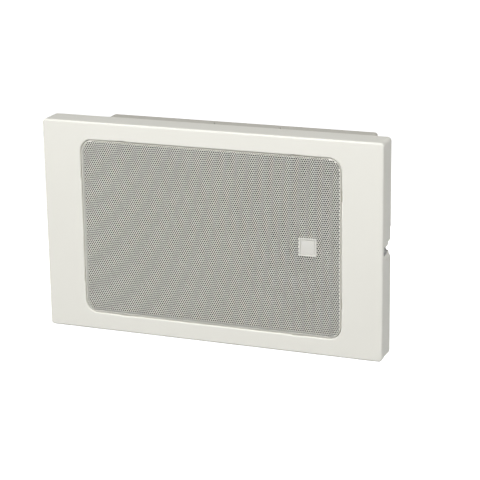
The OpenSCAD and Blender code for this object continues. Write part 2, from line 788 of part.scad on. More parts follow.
// Height of the cone's upper face at radius r: it flares towards the rim
function cone_face(r) = let (out_r = roll_in_r - cone_rim_w)
    cone_neck_z + cone_h * pow(max(0, (r - cone_neck_r) / (out_r - cone_neck_r)), 0.86);

module cone() color([0.13, 0.13, 0.14]) upright() {
    out_r = roll_in_r - cone_rim_w;
    steps = 9;
    radii = [for (i = [0 : steps]) cone_neck_r + (out_r - cone_neck_r) * i / steps];
    face = [for (r = radii) [r, cone_face(r)]];
    back = [for (i = [steps : -1 : 1]) [radii[i], cone_face(radii[i]) - cone_t]];
    // the flat rim under the surround, and the neck that is glued to the former
    rim = [[roll_in_r, cone_top_z], [roll_in_r, cone_top_z - cone_t]];
    neck_out_r = cone_neck_r + cone_t;
    neck = [[neck_out_r, cone_face(neck_out_r) - cone_t], [neck_out_r, cone_neck_z - cone_neck_l],
            [cone_neck_r, cone_neck_z - cone_neck_l]];
    rotate_extrude($fn = 96) polygon(concat(face, rim, back, neck));
}

module dust_cap() color([0.09, 0.09, 0.1]) upright() {
    t = 0.5;
    foot_z = cone_face(cap_r) + glue_gap;
    dome_r = (cap_r * cap_r + cap_h * cap_h) / (2 * cap_h);
    translate([0, 0, foot_z]) difference() {
        intersection() {
            translate([0, 0, cap_h - dome_r]) sphere(dome_r, $fn = 96);
            cylinder(h = cap_h + 1, r = cap_r);
        }
        translate([0, 0, cap_h - dome_r]) sphere(dome_r - t, $fn = 96);
    }
}

module coil_former() color([0.75, 0.6, 0.35]) upright()
    translate([0, 0, former_bottom_z])
        ring(former_out_r, former_r, cone_neck_z + 1.5 - former_bottom_z);

module coil_winding() color([0.72, 0.42, 0.2]) upright()
    translate([0, 0, gap_mid_z - winding_l / 2])
        ring(former_out_r + winding_t, former_out_r, winding_l);

module spider() color([0.8, 0.66, 0.3]) upright() {
    t = 0.5;
    in_r = former_out_r + glue_gap;
    land = 3;
    wave_in = in_r + land;
    wave_out = shelf_in_r - 0.5;
    steps = 4 * spider_rings;
    lift = 0.9;
    waves = [for (i = [0 : steps]) [wave_in + (wave_out - wave_in) * i / steps,
        spider_z + lift * (1 - cos(360 * i / 4)) / 2]];
    rotate_extrude($fn = 96) polygon(concat(
        [[in_r, spider_z]], waves, [[shelf_r - 1, spider_z], [shelf_r - 1, spider_z + t]],
        [for (i = [steps : -1 : 0]) waves[i] + [0, t]], [[in_r, spider_z + t]]));
}

module top_plate() color([0.6, 0.6, 0.62]) upright()
    translate([0, 0, seat_z - iron_t]) ring(iron_r, gap_r, iron_t);

module magnet() color([0.23, 0.23, 0.24]) upright()
    translate([0, 0, seat_z - iron_t - magnet_t]) ring(magnet_r, magnet_in_r, magnet_t);

module yoke() color([0.6, 0.6, 0.62]) upright() translate([0, 0, yoke_z]) {
    cylinder(h = iron_t, r = iron_r);
    cylinder(h = 2 * iron_t + magnet_t + 0.5, r = pole_r);
}

module terminal_strip() color([0.45, 0.25, 0.12]) upright() {
    strip_z = shelf_z + basket_t;
    translate([strip_x, -tongue_w / 2 + 1, strip_z]) {
        cube([strip_l, tongue_w - 2, strip_t]);
        for (s = [-1, 1]) translate([-1, tongue_w / 2 - 1 + s * lug_x - 1.5, strip_t])
            cube([strip_l + 5, 3, lug_t]);
    }
}

// Flexible leads from the terminal strip to the back of the cone
module tinsel_leads() color([0.7, 0.5, 0.3]) upright() {
    dia = 0.9;
    from_z = shelf_z + basket_t + strip_t + lug_t + dia / 2 + glue_gap;
    to_r = 32;
    to_z = cone_face(to_r) - cone_t - dia;
    for (s = [-1, 1]) wire(curve([shelf_r + 5, s * lug_x, from_z],
                                 [shelf_r - 4, s * lug_x, from_z + 1],
                                 [to_r + 7, s * lug_x, to_z - 8],
                                 [to_r, s * lug_x, to_z], 9), dia);
}

// Transformer and terminals

module at_transformer() translate([gear_x, transformer_y, pad_z]) children();

module transformer_core() color([0.4, 0.4, 0.42]) upright() at_transformer() difference() {
    translate([-core_w / 2, -core_stack / 2, 0]) cube([core_w, core_stack, core_h]);
    for (s = [-1, 1]) translate([s * 1.5 * leg_w - leg_w / 2, -core_stack, leg_w])
        cube([leg_w, 2 * core_stack, core_h - 2 * leg_w]);
}

module transformer_coil() color([0.75, 0.62, 0.3]) upright() at_transformer() {
    coil_x = 2 * leg_w - coil_gap;
    coil_y = core_stack / 2 + coil_bulge;
    low = leg_w + coil_gap;
    high = core_h - leg_w - coil_gap;
    cheek = 1.2;
    difference() {
        union() {
            translate([-coil_x, -coil_y, low]) cube([2 * coil_x, 2 * coil_y, cheek]);
            translate([-coil_x, -coil_y, high - cheek]) cube([2 * coil_x, 2 * coil_y, cheek]);
            translate([-coil_x + 0.8, -coil_y + 0.8, low])
                cube([2 * coil_x - 1.6, 2 * coil_y - 1.6, high - low]);
        }
        translate([-leg_w - coil_gap, -core_stack / 2 - coil_gap, 0])
            cube([2 * (leg_w + coil_gap), core_stack + 2 * coil_gap, core_h]);
    }
}

module transformer_bracket() color([0.7, 0.7, 0.72]) upright() at_transformer() difference() {
    union() {
        translate([-core_w / 2 - strap_t, -strap_w / 2, core_h])
            cube([core_w + 2 * strap_t, strap_w, strap_t]);
        for (s = [-1, 1]) {
            translate([s * (core_w / 2 + strap_t / 2) - strap_t / 2, -strap_w / 2, 0])
                cube([strap_t, strap_w, core_h + strap_t]);
            translate([s * (core_w / 2 + ear_reach) / 2 - (ear_reach - core_w / 2) / 2,
                       -strap_w / 2, 0])
                cube([ear_reach - core_w / 2, strap_w, strap_t]);
        }
    }
    for (s = [-1, 1]) translate([s * ear_hole_x, 0, -1])
        cylinder(h = strap_t + 2, r = small_screw_dia / 2 + screw_play);
}

module transformer_screws() color([0.75, 0.75, 0.74]) upright() at_bracket_pads()
    translate([0, 0, pad_z + strap_t])
        pan_screw(small_screw_dia, strap_t + pad_z - pad_floor_z - 0.4, small_head_dia,
                  small_head_h);

module at_terminals() for (i = [0 : terminals - 1])
    translate([gear_x + (i - (terminals - 1) / 2) * terminal_pitch, -block_drop, pad_z + block_h])
        children();

module terminal_block() color([0.14, 0.14, 0.15]) upright() difference() {
    union() {
        translate([gear_x - block_l / 2, -block_drop - block_w / 2, pad_z])
            cube([block_l, block_w, block_h]);
        // the fins between the terminals
        for (i = [0 : terminals]) translate([gear_x + (i - terminals / 2) * terminal_pitch,
                -block_drop, pad_z + block_h + fin_h / 2])
            cube([fin_t, block_w, fin_h], center = true);
    }
    at_terminals() translate([0, 0, -terminal_tail - 0.5])
        cylinder(h = terminal_tail + 1, r = small_screw_dia / 2 + thread_gap);
    at_block_pads() translate([0, 0, pad_z - 1])
        cylinder(h = block_h + 2, r = small_screw_dia / 2 + screw_play);
}

module terminal_plates() color([0.8, 0.65, 0.3]) upright() at_terminals() difference() {
    translate([0, 0, plate_t / 2])
        cube([terminal_pitch - fin_t - 1, block_w - 4, plate_t], center = true);
    translate([0, 0, -1]) cylinder(h = plate_t + 2, r = small_screw_dia / 2 + screw_play);
}

module terminal_screws() color([0.8, 0.7, 0.42]) upright() at_terminals()
    translate([0, 0, plate_t])
        pan_screw(small_screw_dia, plate_t + terminal_tail, small_head_dia, small_head_h);

module block_screws() color([0.75, 0.75, 0.74]) upright() at_block_pads()
    translate([0, 0, pad_z + block_h])
        pan_screw(small_screw_dia, block_h + pad_z - pad_floor_z - 0.4, small_head_dia,
                  small_head_h);

// Two wires from the terminal block to the transformer and two on to the driver
module hookup_wires() color([0.75, 0.15, 0.12]) upright() {
    plate_z = pad_z + block_h + plate_t + wire_dia / 2;
    plate_y = -block_drop + block_w / 2 - 3;
    coil_y = transformer_y - core_stack / 2 - coil_bulge;
    lug_z = shelf_z + basket_t + strip_t + lug_t / 2;
    outer = (terminals - 1) / 2 * terminal_pitch;
    primary_z = pad_z + 12;     // where the leads leave the coil
    secondary_z = pad_z + 20;
    for (s = [-1, 1]) {
        wire(curve([gear_x + s * outer, plate_y, plate_z],
                   [gear_x + s * outer, plate_y + 12, plate_z],
                   [gear_x + s * 6, coil_y - 10, primary_z],
                   [gear_x + s * 6, coil_y, primary_z], 10), wire_dia);
        wire(curve([gear_x + s * 7, coil_y, secondary_z],
                   [gear_x + s * 7, coil_y - 9, secondary_z],
                   [lug_end + 12, s * lug_x, lug_z],
                   [lug_end + 0.15, s * lug_x, lug_z], 10), wire_dia);
    }
}

front_panel();
grille();
badge();
acoustic_cloth();
foam_frame();
side_screws();
baffle_plate();
box_seal();
baffle_screws();
back_box();
cable_grommet();
damping_felt();
driver_basket();
driver_screws();
rim_gasket();
surround();
cone();
dust_cap();
coil_former();
coil_winding();
spider();
top_plate();
magnet();
yoke();
terminal_strip();
tinsel_leads();
transformer_core();
transformer_coil();
transformer_bracket();
transformer_screws();
terminal_block();
terminal_plates();
terminal_screws();
block_screws();
hookup_wires();
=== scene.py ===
"""Wall loudspeaker with a pressed steel front: the dressed model.

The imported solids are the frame. Pieces that show, or that are soft, are rebuilt here with
their real detail, and every other solid keeps its shape and gets a finish of its own.
Shapes are worked out lying on their back, as the solids are: x to the right, y up the wall
and z from the wall to the listener, in millimetres. The stand function turns them up.
"""
import json
import logging
import math
from dataclasses import dataclass
from enum import Enum

import bpy
import numpy as np
from mathutils import Euler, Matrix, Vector
from mathutils.geometry import delaunay_2d_cdt


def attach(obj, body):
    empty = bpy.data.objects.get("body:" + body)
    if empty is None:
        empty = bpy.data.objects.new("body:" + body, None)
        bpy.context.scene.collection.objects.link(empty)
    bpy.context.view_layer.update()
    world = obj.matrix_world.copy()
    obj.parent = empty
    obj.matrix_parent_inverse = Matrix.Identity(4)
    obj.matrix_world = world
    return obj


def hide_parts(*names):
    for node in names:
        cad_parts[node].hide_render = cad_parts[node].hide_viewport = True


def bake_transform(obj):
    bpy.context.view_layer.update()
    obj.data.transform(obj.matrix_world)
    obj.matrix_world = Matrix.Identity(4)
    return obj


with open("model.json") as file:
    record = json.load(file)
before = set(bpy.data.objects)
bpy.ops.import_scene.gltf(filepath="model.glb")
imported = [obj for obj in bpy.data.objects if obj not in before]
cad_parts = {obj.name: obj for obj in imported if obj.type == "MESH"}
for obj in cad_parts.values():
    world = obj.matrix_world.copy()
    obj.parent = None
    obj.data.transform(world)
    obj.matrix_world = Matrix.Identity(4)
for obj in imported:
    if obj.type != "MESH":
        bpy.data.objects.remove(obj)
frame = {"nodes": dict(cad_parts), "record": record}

Array = np.ndarray
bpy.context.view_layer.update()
LOG = logging.getLogger("loudspeaker")
MM = 0.001
HOUSING, CONE = "housing", "moving_cone"
BEND_STEPS = 7
CREASE = 32.0         # degrees past which an edge stays sharp
CREASE_THIN = 50.0    # the same on thin sections
CREASE_SOFT = 60.0    # the same on felt
UNTAKEN = (0.1, 0.97, 0.2)    # a direction that no tube runs in
BRUSHED = (0.03, 1.0, 1.0)    # stretch of the noise into brush lines along x
LINES = 0.8                   # share of the lines in the relief of stacked sheets
WHITE = (1.0, 1.0, 1.0, 1.0)


def stand(points: Array) -> Array:
    """Turns lying points up: (x, y, z) in mm becomes (x, -z, y) in metres.

    Args:
        points: n rows of x, y, z in mm, with z away from the wall.
    Returns:
        The same points in the part's frame, in metres.
    """
    return np.column_stack((points[:, 0], -points[:, 2], points[:, 1])) * MM


def make_piece(name: str, points: Array, faces: list[Array],
               crease: float = CREASE) -> bpy.types.Object:
    """Makes an object at the origin from whole arrays.

    Args:
        name: the piece's name.
        points: n rows of x, y, z, lying, in mm.
        faces: arrays of point numbers, each array with its own number of corners a face.
        crease: edges that turn by more degrees than this stay sharp.
    Returns:
        The new object, linked to the scene.
    """
    mesh = bpy.data.meshes.new(name)
    sizes = np.concatenate([np.full(len(group), group.shape[1]) for group in faces])
    corners = np.concatenate([group.ravel() for group in faces]).astype(np.int32)
    mesh.vertices.add(len(points))
    mesh.vertices.foreach_set("co", stand(points).astype(np.float32).ravel())
    mesh.loops.add(len(corners))
    mesh.loops.foreach_set("vertex_index", corners)
    mesh.polygons.add(len(sizes))
    starts = np.concatenate(([0], np.cumsum(sizes)[:-1])).astype(np.int32)
    mesh.polygons.foreach_set("loop_start", starts)
    mesh.update(calc_edges=True)
    mesh.validate()
    soften(mesh, crease)
    piece = bpy.data.objects.new(name, mesh)
    bpy.context.scene.collection.objects.link(piece)
    return piece


def soften(mesh: bpy.types.Mesh, crease: float) -> None:
    """Shades a mesh smooth, but for edges that turn by more than crease degrees."""
    mesh.shade_smooth()
    mesh.set_sharp_from_angle(angle=math.radians(crease))


def ring_faces(rows: int, columns: int, closed: bool = True) -> Array:
    """Quads of a grid of loops: columns wrap round, and rows do too where closed.

    Args:
        rows: number of loops.
        columns: number of points in each loop.
        closed: whether the last loop joins the first.
    Returns:
        Point numbers, four a face.
    """
    row = np.arange(rows if closed else rows - 1)[:, None]
    column = np.arange(columns)[None, :]
    beside, above = (column + 1) % columns, (row + 1) % rows
    return np.stack((row * columns + column, row * columns + beside,
                     above * columns + beside, above * columns + column), axis=-1).reshape(-1, 4)


def capped(rows: int, columns: int) -> list[Array]:
    """Faces of a stack of loops.

    Args:
        rows: number of loops.
        columns: number of points in each loop.
    Returns:
        The quads between the loops, and one face that closes each end.
    """
    first = np.arange(columns)[None]
    return [ring_faces(rows, columns, closed=False), first[:, ::-1],
            first + (rows - 1) * columns]


def triangulated(points: Array, edges: Array) -> tuple[Array, Array]:
    """Fills the hull of flat points with triangles that keep the given edges.

    Args:
        points: rows of x and y.
        edges: pairs of point numbers.
    Returns:
        The points, which may be renumbered, and the triangles.
    """
    made = delaunay_2d_cdt([Vector(row) for row in points.tolist()], edges.tolist(), [], 0, 1e-6)
    return (np.array([tuple(point) for point in made[0]]),
            np.array([face for face in made[2] if len(face) == 3]))


def bend(centre: float, level: float, radius: float, start: float,
         end: float) -> list[tuple[float, float]]:
    """A round bend of a section.

    Args:
        centre: offset of the bend's middle.
        level: height of the bend's middle.
        radius: its radius.
        start: angle of its first point, in degrees from outwards towards up.
        end: angle of its last point.
    Returns:
        Pairs of offset and height.
    """
    angle = np.radians(np.linspace(start, end, BEND_STEPS))
    return list(zip(centre + radius * np.cos(angle), level + radius * np.sin(angle)))


def two_sided(faces: Array, upper: Array, lower: Array) -> tuple[Array, Array, Array]:
    """Closes a sheet: its upper skin, its lower skin and a wall along every open edge.

    An edge is open where only one face has it, so holes and outlines are walled alike.

    Args:
        faces: point numbers of the upper skin, counter-clockwise seen from above.
        upper: places of the points on the upper skin.
        lower: places of the same points on the lower skin.
    Returns:
        All points, the faces of both skins, and the quads of the walls.
    """
    count = len(upper)
    start = faces.ravel()
    end = np.roll(faces, -1, axis=1).ravel()
    key = np.minimum(start, end).astype(np.int64) * count + np.maximum(start, end)
    _, first, uses = np.unique(key, return_index=True, return_counts=True)
    edge = first[uses == 1]
    walls = np.column_stack((end[edge], start[edge], start[edge] + count, end[edge] + count))
    return np.vstack((upper, lower)), np.vstack((faces, faces[:, ::-1] + count)), walls


def revolve(profile: Array, steps: int) -> tuple[Array, Array]:
    """Turns a closed profile round the driver's axis.

    Args:
        profile: rows of radius and height, clockwise seen with the radius to the right.
        steps: number of points round the axis.
    Returns:
        The points and the quads.
    """
    angle = np.linspace(0, 2 * np.pi, steps, endpoint=False)
    radius, height = profile[:, :1], profile[:, 1:]
    points = np.stack((radius * np.cos(angle), radius * np.sin(angle),
                       height + 0 * angle), axis=-1).reshape(-1, 3)
    return points, ring_faces(len(profile), steps)[:, ::-1]


def tube(path: Array, radius: Array, sides: int) -> tuple[Array, list[Array]]:
    """A round tube along a path, with closed ends.

    Each ring lies across the path's direction. Its sideways axes come from the cross product
    with a fixed direction that the path never takes.

    Args:
        path: rows of x, y, z along the middle.
        radius: radius at each row.
        sides: points round each ring.
    Returns:
        The points, and the quads and end caps.
    """
    along = np.gradient(path, axis=0)
    along /= np.linalg.norm(along, axis=1, keepdims=True)
    side = np.cross(along, UNTAKEN)
    side /= np.linalg.norm(side, axis=1, keepdims=True)
    up = np.cross(along, side)
    angle = np.linspace(0, 2 * np.pi, sides, endpoint=False)[None, :, None]
    rings = path[:, None] + radius[:, None, None] * (np.cos(angle) * side[:, None]
                                                     + np.sin(angle) * up[:, None])
    return rings.reshape(-1, 3), capped(len(path), sides)


def smooth_step(value: Array) -> Array:
    """Rises from 0 to 1 with level ends: 3 v squared minus 2 v cubed, v held in 0 to 1."""
    held = np.clip(value, 0, 1)
    return held * held * (3 - 2 * held)


@dataclass(frozen=True)
class Marks:
    """Where a loop round a rectangle with round corners has its points.

    x and y are places along the long and the short sides, rising, and arc is the number of
    steps in each corner. Loops with the same marks join point by point.
    """
    x: Array
    y: Array
    arc: int

    def normals(self) -> Array:
        """Outward directions, counter-clockwise from the right side's low end.

        Returns:
            One row of x and y for each point of a loop.
        """
        corner = np.linspace(0, np.pi / 2, self.arc + 1)
        angles = [np.concatenate((np.zeros(len(side)), corner)) + turn * np.pi / 2
                  for turn, side in enumerate((self.y, self.x, self.y, self.x))]
        angle = np.concatenate(angles)
        return np.round(np.column_stack((np.cos(angle), np.sin(angle))), 9)

    def core(self, half_x: float, half_y: float) -> Array:
        """Places of the points once the corner radius is taken off.

        Args:
            half_x: distance of the corners' centres from the middle along x.
            half_y: the same along y.
        Returns:
            Rows of x and y: side points on the sides, and each corner's points at its centre.
        """
        turn = self.arc + 1
        across, up = np.ones(len(self.x)), np.ones(len(self.y))
        runs = [(half_x * up, self.y), (self.x[::-1], half_y * across),
                (-half_x * up, self.y[::-1]), (self.x, -half_y * across)]
        ends = [(half_x, half_y), (-half_x, half_y), (-half_x, -half_y), (half_x, -half_y)]
        return np.vstack([np.vstack((np.column_stack(run), np.tile(end, (turn, 1))))
                          for run, end in zip(runs, ends)])


@dataclass(frozen=True)
class Outline:
    """A rectangle with round corners, centred, in mm."""
    width: float
    height: float
    radius: float

    def grown(self, by: float) -> "Outline":
        """The outline moved outwards by a distance."""
        return Outline(self.width + 2 * by, self.height + 2 * by, self.radius + by)

    def loop(self, marks: Marks, height: Array | float) -> Array:
        """The outline as points at a height.

        Args:
            marks: where the points are.
            height: one height for all the points, or one each.
        Returns:
            Rows of x, y, z.
        """
        flat = (marks.core(self.width / 2 - self.radius, self.height / 2 - self.radius)
                + marks.normals() * self.radius)
        return np.column_stack((flat, np.broadcast_to(height, len(flat))))

    def beyond(self, points: Array) -> tuple[Array, Array]:
        """How far points lie outside the outline, and in which direction.

        The distance to a round rectangle is that to its corner's centre less the radius, and
        beside a straight side it is the distance to that side. Inside it is below 0.

        Args:
            points: rows of x and y.
        Returns:
            The distances, and rows of outward directions.
        """
        over = np.abs(points) - (np.array([self.width, self.height]) / 2 - self.radius)
        outer = np.maximum(over, 0)
        reach = np.linalg.norm(outer, axis=1)
        distance = reach + np.minimum(over.max(axis=1), 0) - self.radius
        side = np.where(over.argmax(axis=1)[:, None] == [[0, 1]], 1.0, 0.0)
        direction = np.where(reach[:, None] > 1e-9, outer / np.maximum(reach, 1e-9)[:, None], side)
        return distance, direction * np.where(points < 0, -1.0, 1.0)


def even_marks(half_x: float, half_y: float, step: float, arc: int = 8) -> Marks:
    """Marks spaced evenly by about a step along both sides."""
    return Marks(np.linspace(-half_x, half_x, max(2, round(2 * half_x / step))),
                 np.linspace(-half_y, half_y, max(2, round(2 * half_y / step))), arc)


class Value:
    """A node's output, so that shader maths can be written as an expression."""

    def __init__(self, graph: "Graph", socket: bpy.types.NodeSocket) -> None:
        """Keeps the socket and the graph that it belongs to."""
        self.graph, self.socket = graph, socket

    def __add__(self, other: "Value | float") -> "Value":
        """This value plus another."""
        return self.graph.maths("ADD", self, other)

    def __sub__(self, other: "Value | float") -> "Value":
        """This value less another."""
        return self.graph.maths("SUBTRACT", self, other)

    def __rsub__(self, other: float) -> "Value":
        """A number less this value."""
        return self.graph.maths("SUBTRACT", other, self)

    def __mul__(self, other: "Value | float") -> "Value":
        """This value times another."""
        return self.graph.maths("MULTIPLY", self, other)

    __radd__ = __add__
    __rmul__ = __mul__

    def __abs__(self) -> "Value":
        """This value without its sign."""
        return self.graph.maths("ABSOLUTE", self)

    def __gt__(self, other: "Value | float") -> "Value":
        """1 where this value is above another, and 0 elsewhere."""
        return self.graph.maths("GREATER_THAN", self, other)

    def wave(self, length: float) -> "Value":
        """The sine of this value, one turn every length metres."""
        return self.graph.maths("SINE", self * (2 * math.pi / length))


class Graph:
    """The nodes of one material."""

    def __init__(self, name: str) -> None:
        """Starts an empty material with a name."""
        self.material = bpy.data.materials.new(name)
        self.material.use_nodes = True
        self.tree = self.material.node_tree
        self.tree.nodes.clear()

    def node(self, kind: str, settings: dict[str, object],
             inputs: dict[str | int, object]) -> bpy.types.Node:
        """Adds any node.

        Args:
            kind: the node's type.
            settings: what is set on the node itself, before its sockets.
            inputs: values or links for its sockets, by name or number.
        Returns:
            The node.
        """
        node = self.tree.nodes.new(kind)
        for key, setting in settings.items():
            setattr(node, key, setting)
        for key, given in inputs.items():
            if isinstance(given, Value):
                self.tree.links.new(given.socket, node.inputs[key])
            else:
                node.inputs[key].default_value = given
        return node

    def maths(self, operation: str, a: "Value | float", b: "Value | float" = 0.0) -> Value:
        """One Math node on two values."""
        return Value(self, self.node("ShaderNodeMath", {"operation": operation},
                                     {0: a, 1: b}).outputs[0])

    def place(self) -> Value:
        """The point on the piece, in metres."""
        return Value(self, self.node("ShaderNodeTexCoord", {}, {}).outputs["Object"])

    def axes(self) -> tuple[Value, Value, Value]:
        """The point's x, y and z, each as a value."""
        split = self.node("ShaderNodeSeparateXYZ", {}, {0: self.place()})
        return tuple(Value(self, socket) for socket in split.outputs)

    def stretched(self, scale: tuple[float, float, float]) -> Value:
        """The point with each axis multiplied."""
        return Value(self, self.node("ShaderNodeVectorMath", {"operation": "MULTIPLY"},
                                     {0: self.place(), 1: scale}).outputs[0])

    def noise(self, place: Value, size: float, detail: float = 2.0,
              distortion: float = 0.0) -> Value:
        """Cloudy noise from 0 to 1 whose features are size metres wide."""
        return Value(self, self.node("ShaderNodeTexNoise", {}, {
            "Vector": place, "Scale": 1 / size, "Detail": detail,
            "Distortion": distortion}).outputs["Fac"])

    def cells(self, place: Value, size: float) -> Value:
        """Distance to the nearest of many scattered points, size metres apart."""
        return Value(self, self.node("ShaderNodeTexVoronoi", {}, {
            "Vector": place, "Scale": 1 / size}).outputs["Distance"])

    def shades(self, factor: Value, dark: "tuple[float, ...] | Value",
               light: "tuple[float, ...] | Value") -> Value:
        """A colour between two, by a factor."""
        mix = self.node("ShaderNodeMix", {"data_type": "RGBA"}, {0: factor, 6: dark, 7: light})
        return Value(self, mix.outputs[2])

    def bump(self, height: Value, depth: float, strength: float) -> Value:
        """Normals of a relief of that depth, in metres."""
        return Value(self, self.node("ShaderNodeBump", {}, {
            "Height": height, "Distance": depth, "Strength": strength}).outputs["Normal"])

    def finish(self, sockets: dict[str, object]) -> bpy.types.Material:
        """Ends the graph in the surface shader.

        Args:
            sockets: values or links for the shader's sockets, by name.
        Returns:
            The finished material.
        """
        shader = self.node("ShaderNodeBsdfPrincipled", {}, sockets)
        self.node("ShaderNodeOutputMaterial", {}, {0: Value(self, shader.outputs[0])})
        return self.material


class Grain(Enum):
    """The kinds of fine relief that the finishes have."""
    PEEL = "soft ripple of a baked powder coat"
    BRUSHED = "fine lines along x"
    WOVEN = "crossing threads"
    FIBRES = "tangled fibres"
    CELLS = "skin over closed cells"
    MOULDED = "matt texture of a mould"
    STACKED = "edges of stacked sheets, one behind another along z"
    WOUND = "turns laid side by side along y"
    CAST = "grainy pressed powder"


def relief(graph: Graph, grain: Grain, size: float) -> Value:
    """The height of a kind of relief, from about 0 to 1.

    Threads are half waves along one axis where the product of two waves is above 0, and along
    the other axis elsewhere, so that they pass over and under each other.

    Args:
        graph: the material's nodes.
        grain: which kind.
        size: width of a ripple, line, thread, fibre, cell or sheet, in metres.
    Returns:
        The height.
    """
    x, y, z = graph.axes()
    if grain is Grain.WOVEN:
        warp, weft = abs(x.wave(4 * size)), abs(z.wave(4 * size))
        over = (x.wave(4 * size) * z.wave(4 * size)) > 0.0
        return warp * over + weft * (1 - over)
    if grain is Grain.BRUSHED:
        return graph.noise(graph.stretched(BRUSHED), size, detail=3.0)
    if grain is Grain.FIBRES:
        return graph.noise(graph.place(), size, detail=6.0, distortion=1.5)
    if grain is Grain.CELLS:
        return 1 - graph.cells(graph.place(), size)
    if grain is Grain.STACKED:
        return abs(z.wave(2 * size)) * LINES + graph.noise(graph.place(), 2 * size) * (1 - LINES)
    if grain is Grain.WOUND:
        return abs(y.wave(2 * size))
    if grain is Grain.CAST:
        return graph.noise(graph.place(), size, detail=5.0)
    return graph.noise(graph.place(), size)


@dataclass(frozen=True)
class Finish:
    """A surface: its slot, how it shines, and its fine relief.

    slot names the record's material, whose colour it takes. mottle is how far the shade wanders
    over the piece, patch how wide such a patch is, and spread how far the roughness wanders.
    tone darkens the record's colour where it is below 1; that darkening is painted shade.
    """
    slot: str
    roughness: float
    grain: Grain
    size: float
    depth: float
    metallic: float = 0.0
    coat: float = 0.0
    coat_roughness: float = 0.25
    sheen: float = 0.0
    sheen_roughness: float = 0.5
    mottle: float = 0.06
    patch: float = 0.03
    spread: float = 0.05
    grain_shade: float = 0.0
    strength: float = 0.6
    painted_shade_factor: float = 1.0

    def material(self) -> bpy.types.Material:
        """The finish as nodes: a colour that wanders a little in patches, over a fine relief.

        Returns:
            The material, made at the first call.
        """
        name = f"{self.slot}_finish"
        known = bpy.data.materials.get(name)
        if known is not None:
            return known
        graph = Graph(name)
        colour = slot_colour(self.slot)
        patches = graph.noise(graph.place(), self.patch, detail=3.0)
        height = relief(graph, self.grain, self.size)
        factor = patches * (1 - self.grain_shade) + height * self.grain_shade
        # Below 1, the darkening factor here is painted shade, not the material's own colour.
        dark, light = (tuple(min(1.0, part * self.painted_shade_factor * change) for part in colour) + (1.0,)
                       for change in (1 - self.mottle, 1 + self.mottle))
        sockets = {
            "Base Color": graph.shades(factor, dark, light),
            "Roughness": patches * (2 * self.spread) + (self.roughness - self.spread),
            "Metallic": self.metallic,
            "Normal": graph.bump(height, self.depth, self.strength)}
        if self.coat:
            sockets |= {"Coat Weight": self.coat, "Coat Roughness": self.coat_roughness}
        if self.sheen:
            sockets |= {"Sheen Weight": self.sheen, "Sheen Roughness": self.sheen_roughness}
        return graph.finish(sockets)


def slot_colour(slot: str) -> tuple[float, ...]:
    """The record's colour for a material slot."""
    return next(tuple(row["base_color"]) for row in frame["record"]["materials"]
                if row["slot"] == slot)


FINISHES = {finish.slot: finish for finish in (
    Finish("paint", 0.42, Grain.PEEL, 0.0011, 0.00002, mottle=0.012, patch=0.05, spread=0.03),
    Finish("grille", 0.46, Grain.PEEL, 0.0009, 0.00002, mottle=0.02, patch=0.02, spread=0.04),
    Finish("box_paint", 0.5, Grain.PEEL, 0.0011, 0.00003, mottle=0.02, patch=0.05, spread=0.04),
    # The badge's colour is darkened below the record's: painted shade, standing in for the shading
    # of its rim and of the emblem's relief.
    Finish("badge_plastic", 0.4, Grain.MOULDED, 0.0004, 0.00002, mottle=0.015, patch=0.006,
           painted_shade_factor=0.88),
    Finish("cloth", 0.95, Grain.WOVEN, 0.00045, 0.0002, mottle=0.5, grain_shade=0.7),
    Finish("foam", 0.9, Grain.CELLS, 0.0011, 0.0003, mottle=0.35, grain_shade=0.6),
    Finish("zinc", 0.3, Grain.BRUSHED, 0.0004, 0.00002, metallic=1.0, mottle=0.1, patch=0.004),
    Finish("black_paint", 0.5, Grain.PEEL, 0.0013, 0.00003, mottle=0.2, spread=0.08),
    Finish("rubber", 0.7, Grain.MOULDED, 0.0006, 0.00004, mottle=0.25, spread=0.08),
    Finish("felt", 1.0, Grain.FIBRES, 0.0025, 0.0006, sheen=0.5, mottle=0.35, grain_shade=0.6),
    Finish("basket", 0.45, Grain.PEEL, 0.0012, 0.00003, mottle=0.2, spread=0.08),
    Finish("gasket", 0.85, Grain.FIBRES, 0.001, 0.0001, mottle=0.25, grain_shade=0.4),
    Finish("cone_paper", 0.85, Grain.FIBRES, 0.0015, 0.00015, mottle=0.35, grain_shade=0.5),
    Finish("treated_cloth", 0.6, Grain.WOVEN, 0.0004, 0.0001, coat=0.3, mottle=0.3,
           grain_shade=0.5),
    Finish("kapton", 0.3, Grain.WOUND, 0.006, 0.00002, coat=0.4, mottle=0.1),
    Finish("copper", 0.3, Grain.WOUND, 0.00025, 0.00008, metallic=0.9, coat=0.5, mottle=0.15,
           grain_shade=0.6),
    Finish("spider_cloth", 0.75, Grain.WOVEN, 0.0004, 0.0001, sheen=0.2, mottle=0.25,
           grain_shade=0.6),
    Finish("iron", 0.35, Grain.BRUSHED, 0.0005, 0.00003, metallic=1.0, mottle=0.12, patch=0.01),
    Finish("ferrite", 0.6, Grain.CAST, 0.0015, 0.0001, mottle=0.3, spread=0.1),
    Finish("phenolic", 0.45, Grain.FIBRES, 0.002, 0.00003, coat=0.3, mottle=0.3, grain_shade=0.5),
    Finish("lamination", 0.4, Grain.STACKED, 0.0005, 0.0001, metallic=0.9, mottle=0.35,
           grain_shade=0.7),
    Finish("bobbin", 0.35, Grain.WOUND, 0.004, 0.00008, coat=0.3, mottle=0.12, grain_shade=0.3),
    Finish("block", 0.4, Grain.MOULDED, 0.0005, 0.00003, mottle=0.2, spread=0.06),
    Finish("brass", 0.3, Grain.BRUSHED, 0.0004, 0.00002, metallic=1.0, mottle=0.1, patch=0.004),
    Finish("wire", 0.35, Grain.MOULDED, 0.0008, 0.00002, mottle=0.1, patch=0.02),
)}


def dress(piece: bpy.types.Object, slot: str) -> None:
    """Gives a piece, or a solid that stays, the finish of a slot."""
    material = FINISHES[slot].material()
    if piece.data.materials:
        for index in range(len(piece.data.materials)):
            piece.material_slots[index].material = material
    else:
        piece.data.materials.append(material)


